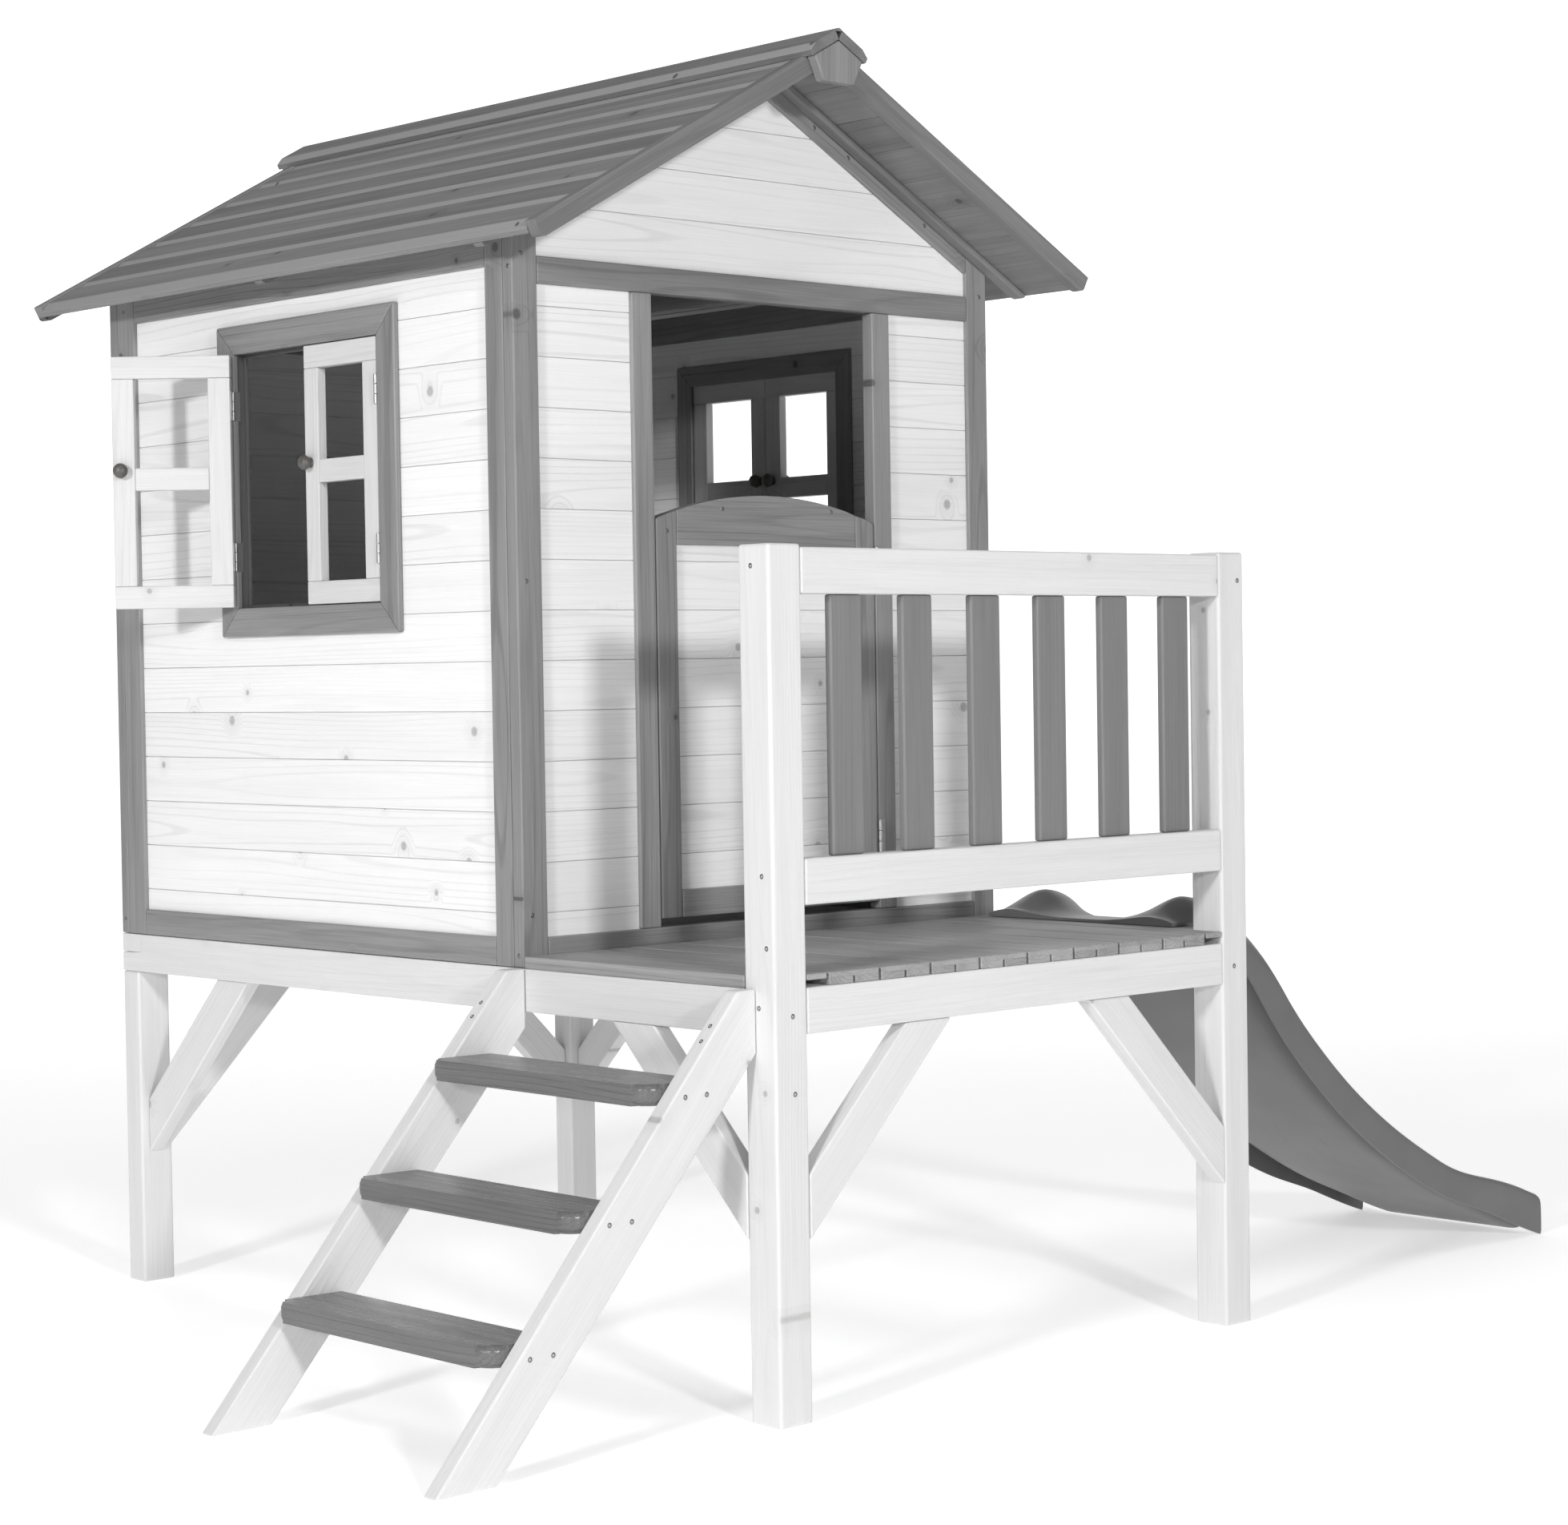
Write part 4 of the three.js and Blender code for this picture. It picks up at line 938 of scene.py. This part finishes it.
# ridge cap: two boards that lean on each other, over a small wedge
CAP_EDGE, CAP_FALL = 14.0, 6.0
x0, x1, y0, y1, z0, z1 = span("ridge_cap")
boards = Boards()
rise = z1 - PEAK - FIT
thick = rise / LENGTH
stop = (x1 - x0) / 2 * LENGTH - thick * SLOPE
section = [(0.2, 0), (stop, 0), (stop, thick - CAP_FALL), (stop - CAP_EDGE, thick), (0.2, thick)]
for way in (-1, 1):
    across = Vector((way / LENGTH, 0, -SLOPE / LENGTH))
    out = Vector((way * SLOPE / LENGTH, 0, 1 / LENGTH))
    matrix = to_world(across, out, Y, (MID, y0, PEAK + FIT))
    # pale marks the cap's top bevel, which gets a painted highlight
    boards.plank(section, y1 - y0, matrix, angle=None, bevel=0.8, segments=1, tone=0.8,
                 pale=lambda u, v: u > stop - CAP_EDGE + 0.2 and v > thick - CAP_FALL - 0.2)
wedge = [(-7.5, rise - 5), (7.5, rise - 5), (7.5, rise - 4.1), (0, rise - 0.2), (-7.5, rise - 4.1)]
boards.plank(wedge, y1 - y0, to_world(X, Z, Y, (MID, y0, PEAK + FIT)), angle=None, bevel=0)
boards.stand_in("ridge_cap", ROOF, "roof_wood")
for node in ("finial_front", "finial_back"):
    x0, x1, y0, y1, z0, z1 = span(node)
    boards = Boards()
    mid = (x0 + x1) / 2
    outline = [(mid - 30, z0), (mid + 30, z0), (x1, z0 + 35), (mid, z1), (x0, z0 + 35)]
    boards.plank(outline, y1 - y0, front(y0), angle=math.pi / 2, bevel=2.5)
    boards.stand_in(node, ROOF, "roof_wood")

# ------------------------------------------------------------------ ladder
TREADS = [span(f"ladder_tread_{i}") for i in (1, 2, 3)]
FOOT_D, STRINGER_CUT, FLAT = 93.0, 480.0, 31.0
TREAD_GAP = 0.2
x0, x1, y0, y1, z0, z1 = span("ladder_stringer_right")
outline = [(x0, z0), (x0 + FOOT_D, z0), (x1, STRINGER_CUT), (x1, z1), (x1 - FLAT, z1)]
LADDER_RUN = (x1 - FLAT - x0) / z1
LADDER_ANGLE = math.atan2(1, LADDER_RUN)
for node in ("ladder_stringer_right", "ladder_stringer_left"):
    y0, y1 = span(node)[2:4]
    boards = Boards()
    boards.plank(outline, y1 - y0, front(y0), angle=LADDER_ANGLE, bevel=3.0, segments=3)
    boards.stand_in(node, TIMBER, "white_wood")
inner0, inner1 = span("ladder_stringer_right")[3] + TREAD_GAP, span("ladder_stringer_left")[2] - TREAD_GAP
for i, (tx0, tx1, ty0, ty1, tz0, tz1) in enumerate(TREADS, 1):
    shelf = [(tx1, inner0), (tx1, inner1)]
    for radius, centre_y, begin in ((12.0, inner1 - 12, math.pi / 2), (30.0, inner0 + 30, math.pi)):
        shelf += [(tx0 + radius + radius * math.cos(begin + k * math.pi / 16),
                   centre_y + radius * math.sin(begin + k * math.pi / 16)) for k in range(9)]
    boards = Boards()
    boards.plank(shelf, tz1 - tz0, to_world(X, Y, Z, (0, 0, tz0)), angle=math.pi / 2,
                 bevel=9.0, segments=8, rim=True)
    boards.stand_in(f"ladder_tread_{i}", TREAD, "deck_wood")

# ------------------------------------------------------------------ slide
# centre line of the slide's floor, X and Z
PATH = [(906, 584), (940, 584), (975, 583), (1005, 578), (1032, 566), (1062, 542), (1103, 498),
        (1169, 415), (1236, 346), (1320, 273), (1413, 207), (1509, 151), (1615, 98), (1725, 54),
        (1800, 25), (1840, 11), (1853, 7)]
LIP_X, END_X = PATH[0][0], PATH[-1][0]
WALL_H, END_WALL = 34.0, 56.0
SHELL, SKIRT, FOOT = 4.0, 18.0, 3.0
CORNER, CORNER_DROP = 32.0, 26.0
# half sections: distance in from the outer edge, share of the wall's height. The lip rolls over
# in wide humps and the run has upright walls; the first turns into the second.
LIP_SHAPE = [(0, 0.15), (20, 0.8), (44, 1.14), (62, 1), (100, 0.36), (140, 0), (160, 0)]
RUN_SHAPE = [(0, 0.82), (3, 1), (17, 1), (23, 0.85), (44, 0.12), (58, 0), (80, 0)]


def catmull(points, steps):
    """Evenly sampled smooth line through the points."""
    padded = [Vector(p) for p in [points[0]] + points + [points[-1]]]
    line = []
    for a, b, c, d in zip(padded, padded[1:], padded[2:], padded[3:]):
        for k in range(steps):
            t = k / steps
            bend = (2 * a - 5 * b + 4 * c - d) * t * t + (3 * b - a - 3 * c + d) * t ** 3
            line.append((2 * b + (c - a) * t + bend) / 2)
    return line + [padded[-1]]


def smoothstep(value, low, high):
    t = min(max((value - low) / (high - low), 0), 1)
    return t * t * (3 - 2 * t)


def rounded(points, times=3):
    """The line with its corners cut off again and again."""
    for _ in range(times):
        softer = [points[0]]
        for (ax, ay), (bx, by) in zip(points, points[1:]):
            softer.append((ax * 0.75 + bx * 0.25, ay * 0.75 + by * 0.25))
            softer.append((ax * 0.25 + bx * 0.75, ay * 0.25 + by * 0.75))
        points = softer + [points[-1]]
    return points


def channel(px, skirt):
    """The moulded section at px, from one skirt's edge over the walls to the other's."""
    tall = WALL_H + (END_WALL - WALL_H) * smoothstep(px, END_X - 293, END_X - 63)
    end = min(1, max(0, (px - (END_X - CORNER)) / CORNER))
    drop = CORNER_DROP * (1 - math.sqrt(1 - end * end))
    wall_h = max(8, tall * smoothstep(px, LIP_X - 16, LIP_X + 79) - drop)
    turn = smoothstep(px, HOUSE_W + 42, HOUSE_W + 202)
    left = [(-half, -skirt)]
    for run_point, lip_point in zip(RUN_SHAPE, LIP_SHAPE):
        inset, share = (r * turn + l * (1 - turn) for r, l in zip(run_point, lip_point))
        left.append((-half + inset, share * wall_h))
    left = rounded(left)
    return left + [(-a, b) for a, b in reversed(left)]


def inner_side(section, px, skirt):
    """The section moved in by the shell's thickness; on the veranda the underside is flat."""
    if px < HOUSE_W + 8:
        return [(a, -skirt) for a, b in section]
    inner = []
    for k, (a, b) in enumerate(section):
        before, after = Vector(section[max(k - 1, 0)]), Vector(section[min(k + 1, len(section) - 1)])
        d = (after - before).normalized()
        inner.append((a + d.y * SHELL, b - d.x * SHELL))
    for k in (0, -1):
        inner[k] = (min(max(inner[k][0], -half + SHELL), half - SHELL), -skirt)
    return inner


x0, x1, y0, y1, z0, z1 = span("slide")
half = (y1 - y0) / 2
verts, faces = [], []
line = catmull(PATH, 8)
for i, (px, pz) in enumerate(line):
    tangent = (line[min(i + 1, len(line) - 1)] - line[max(i - 1, 0)]).normalized()
    run_out = smoothstep(px, END_X - 330, END_X - 130)
    reach = smoothstep(px, HOUSE_W + 8, HOUSE_W + 40) * (1 - run_out)
    skirt = SHELL + (SKIRT - SHELL) * reach + FOOT * run_out
    section = channel(px, skirt)
    for a, b in section + inner_side(section, px, skirt):
        x = min(px - tangent.y * b, END_X)
        z = max(pz + tangent.x * b, 0.0)
        verts.append(ORIGIN + Vector((x, y0 + half + a, z)) * MM)
count = len(section)
for i in range(len(line) - 1):
    here, there = 2 * i * count, 2 * (i + 1) * count
    for k in range(count - 1):
        a, b = here + k, there + k
        faces.append((a, a + 1, b + 1, b))
        faces.append((a + count, b + count, b + count + 1, a + count + 1))
    for k in (0, count - 1):
        faces.append((here + k, there + k, there + k + count, here + k + count))
for start in (0, 2 * (len(line) - 1) * count):
    faces += [(a, a + count, a + count + 1, a + 1) for a in range(start, start + count - 1)]
solid("v_slide", verts, faces, PLASTIC, "playhouse", ["slide"], smooth=35)

# ------------------------------------------------------------------ screws
SCREW_R = 3.6


LEFT, RIGHT, FRONT = -X, X, -Y
UP_LADDER = Vector((-math.sin(LADDER_ANGLE), 0, math.cos(LADDER_ANGLE)))


def screws(name, body, spots):
    """Countersunk screws; each spot is a place in house mm and the way its face looks."""
    head = [(0.01, -0.8), (1.0, -0.8), (1.3, 0.3), (SCREW_R - 0.6, 0.45),
            (SCREW_R, 0.05), (SCREW_R - 0.2, -1.0), (0.01, -1.2)]
    verts, faces = [], []
    for at, out in spots:
        u = out.cross(Z).normalized()
        turned_part(verts, faces, to_world(u, out.cross(u), out, at), head, 14)
    solid(name, verts, faces, SCREW, body)


spots = []
# posts, into the railing and the veranda's beams
for y, z in ((-476, 1103), (-488, 707), (-495, 615), (-479, 538)):
    spots += [((0, y, z), LEFT), ((HOUSE_W, y, z), RIGHT)]
for x, z in ((31, 527), (HOUSE_W - 14, 1090), (HOUSE_W - 31, 527), (33, 427)):
    spots.append(((x, span("post_front_left")[2], z), FRONT))
# wall frames
for z in (1550, 1098, 635):
    spots += [((16, 0, z), FRONT), ((HOUSE_W - 16, 0, z), FRONT), ((HOUSE_W, 16, z), RIGHT)]
for y, z in ((11, 579), (9, 1532), (HOUSE_D - 42, 1557), (HOUSE_D - 11, 585), (HOUSE_D - 11, 1098)):
    spots.append(((0, y, z), LEFT))
for x in (580, 650, 812):
    spots += [((u, 0, gable(x, MEMBER / 2)), FRONT) for u in (x, HOUSE_W - x)]
# ladder
stringer = span("ladder_stringer_right")
for tx0, tx1, ty0, ty1, tz0, tz1 in TREADS:
    spots += [((tx0 + inset, stringer[2], (tz0 + tz1) / 2 - 2), FRONT) for inset in (42, 78)]
for y in (stringer[2] + 13, span("ladder_stringer_left")[2] + 13):
    spots += [((-FLAT - (stringer[5] - z) * LADDER_RUN, y, z), UP_LADDER) for z in (520, 502)]
screws("v_screws_frame", "playhouse", spots)

x0, x1 = span("door_leaf")[:2]
door_spots = ((x0 + 128, 1206), (x1 - 90, 1206), (x0 + 20, 1172), (x1 - 20, 640))
screws("v_screws_door", "door", [((x, 0, z), FRONT) for x, z in door_spots])

# ------------------------------------------------------------------ stage, light, camera
VIEW = math.radians(46.94)
PITCH = math.radians(1.607)
ROLL = math.radians(-0.896)
EYE = (-2817.0, -3547.6, 968.7)
LENS = 75.05
FLOOR_HALF = 12.0
FLOOR_NEAR, FLOOR_FAR = -8.0, 6.0
CURVE, CURVE_STEPS, BACKDROP = 2.5, 14, 7.0
GLOW, GLOW_MORE = 0.45, 0.2


def stage():
    """A pale floor that curves up into a pale backdrop, with a faint glow that grows with distance."""
    mat, tree, bsdf = new_material("pale_floor")
    g = Graph(tree)
    place = g.node("ShaderNodeTexCoord").outputs["Object"]
    cloud = g.noise(place, scale=0.7, detail=3.0)
    g.put(bsdf.inputs["Base Color"], g.blend(cloud, grey(0.88), grey(0.92)))
    bsdf.inputs["Roughness"].default_value = 0.9
    bsdf.inputs["Emission Color"].default_value = grey(1.0)
    g.put(bsdf.inputs["Emission Strength"], g.attribute("glow", "Fac"))
    away = Vector((math.cos(VIEW), math.sin(VIEW), 0))
    across = away.cross(-Z)
    profile = [(d, 0.0) for d in (FLOOR_NEAR, -3.5, -1.5, 0.0, 1.5, 3.0, FLOOR_FAR)]
    for k in range(1, CURVE_STEPS + 1):
        angle = k * math.pi / 2 / CURVE_STEPS
        profile.append((FLOOR_FAR + CURVE * math.sin(angle), CURVE * (1 - math.cos(angle))))
    profile.append((FLOOR_FAR + CURVE, BACKDROP))
    verts = [away * d + across * s + Z * z for d, z in profile for s in (-FLOOR_HALF, FLOOR_HALF)]
    faces = [(2 * i, 2 * i + 2, 2 * i + 3, 2 * i + 1) for i in range(len(profile) - 1)]
    mesh = bpy.data.meshes.new("floor")
    mesh.from_pydata([tuple(v) for v in verts], [], faces)
    glow = mesh.attributes.new("glow", "FLOAT", "POINT")
    for i in range(len(verts)):
        glow.data[i].value = GLOW + GLOW_MORE * smoothstep(profile[i // 2][0], 0.5, FLOOR_FAR)
    mesh.shade_smooth()
    mesh.materials.append(mat)
    floor = bpy.data.objects.new("floor", mesh)
    bpy.context.scene.collection.objects.link(floor)


def area_light(name, at, target, size, power):
    light = bpy.data.lights.new(name, "AREA")
    light.shape = "RECTANGLE"
    light.size, light.size_y = size
    light.energy = power
    lamp = bpy.data.objects.new(name, light)
    lamp.location = at
    lamp.rotation_euler = (Vector(target) - Vector(at)).to_track_quat("-Z", "Y").to_euler()
    bpy.context.scene.collection.objects.link(lamp)


def surroundings(strength):
    world = bpy.data.worlds.new("studio")
    world.use_nodes = True
    background = world.node_tree.nodes["Background"]
    background.inputs["Color"].default_value = grey(1.0)
    background.inputs["Strength"].default_value = strength
    bpy.context.scene.world = world


def look_through():
    """The camera at EYE in house mm, turned by VIEW from +X, tipped down by PITCH and rolled."""
    camera = bpy.data.cameras.new("camera")
    camera.sensor_width = 36.0
    camera.lens = LENS
    eye = bpy.data.objects.new("camera", camera)
    level_view = Vector((math.cos(VIEW), math.sin(VIEW), 0))
    forward = level_view * math.cos(PITCH) - Z * math.sin(PITCH)
    level = forward.cross(Z).normalized()
    above = level.cross(forward)
    right = level * math.cos(ROLL) + above * math.sin(ROLL)
    top = above * math.cos(ROLL) - level * math.sin(ROLL)
    eye.matrix_world = to_world(right, top, -forward, EYE)
    bpy.context.scene.collection.objects.link(eye)
    bpy.context.scene.camera = eye


stage()
area_light("key_left", (-7.3, -2.4, 2.6), (-0.4, 0.1, 0.9), (0.7, 0.6), 260)
area_light("key_front", (-2.36, -6.6, 2.5), (-0.2, -0.4, 0.9), (0.5, 0.4), 190)
area_light("top_soft", (-1.5, -2.0, 6.5), (0, 0, 0.9), (2.5, 2.5), 45)
surroundings(0.2)
look_through()
bpy.context.scene.view_settings.view_transform = "Standard"
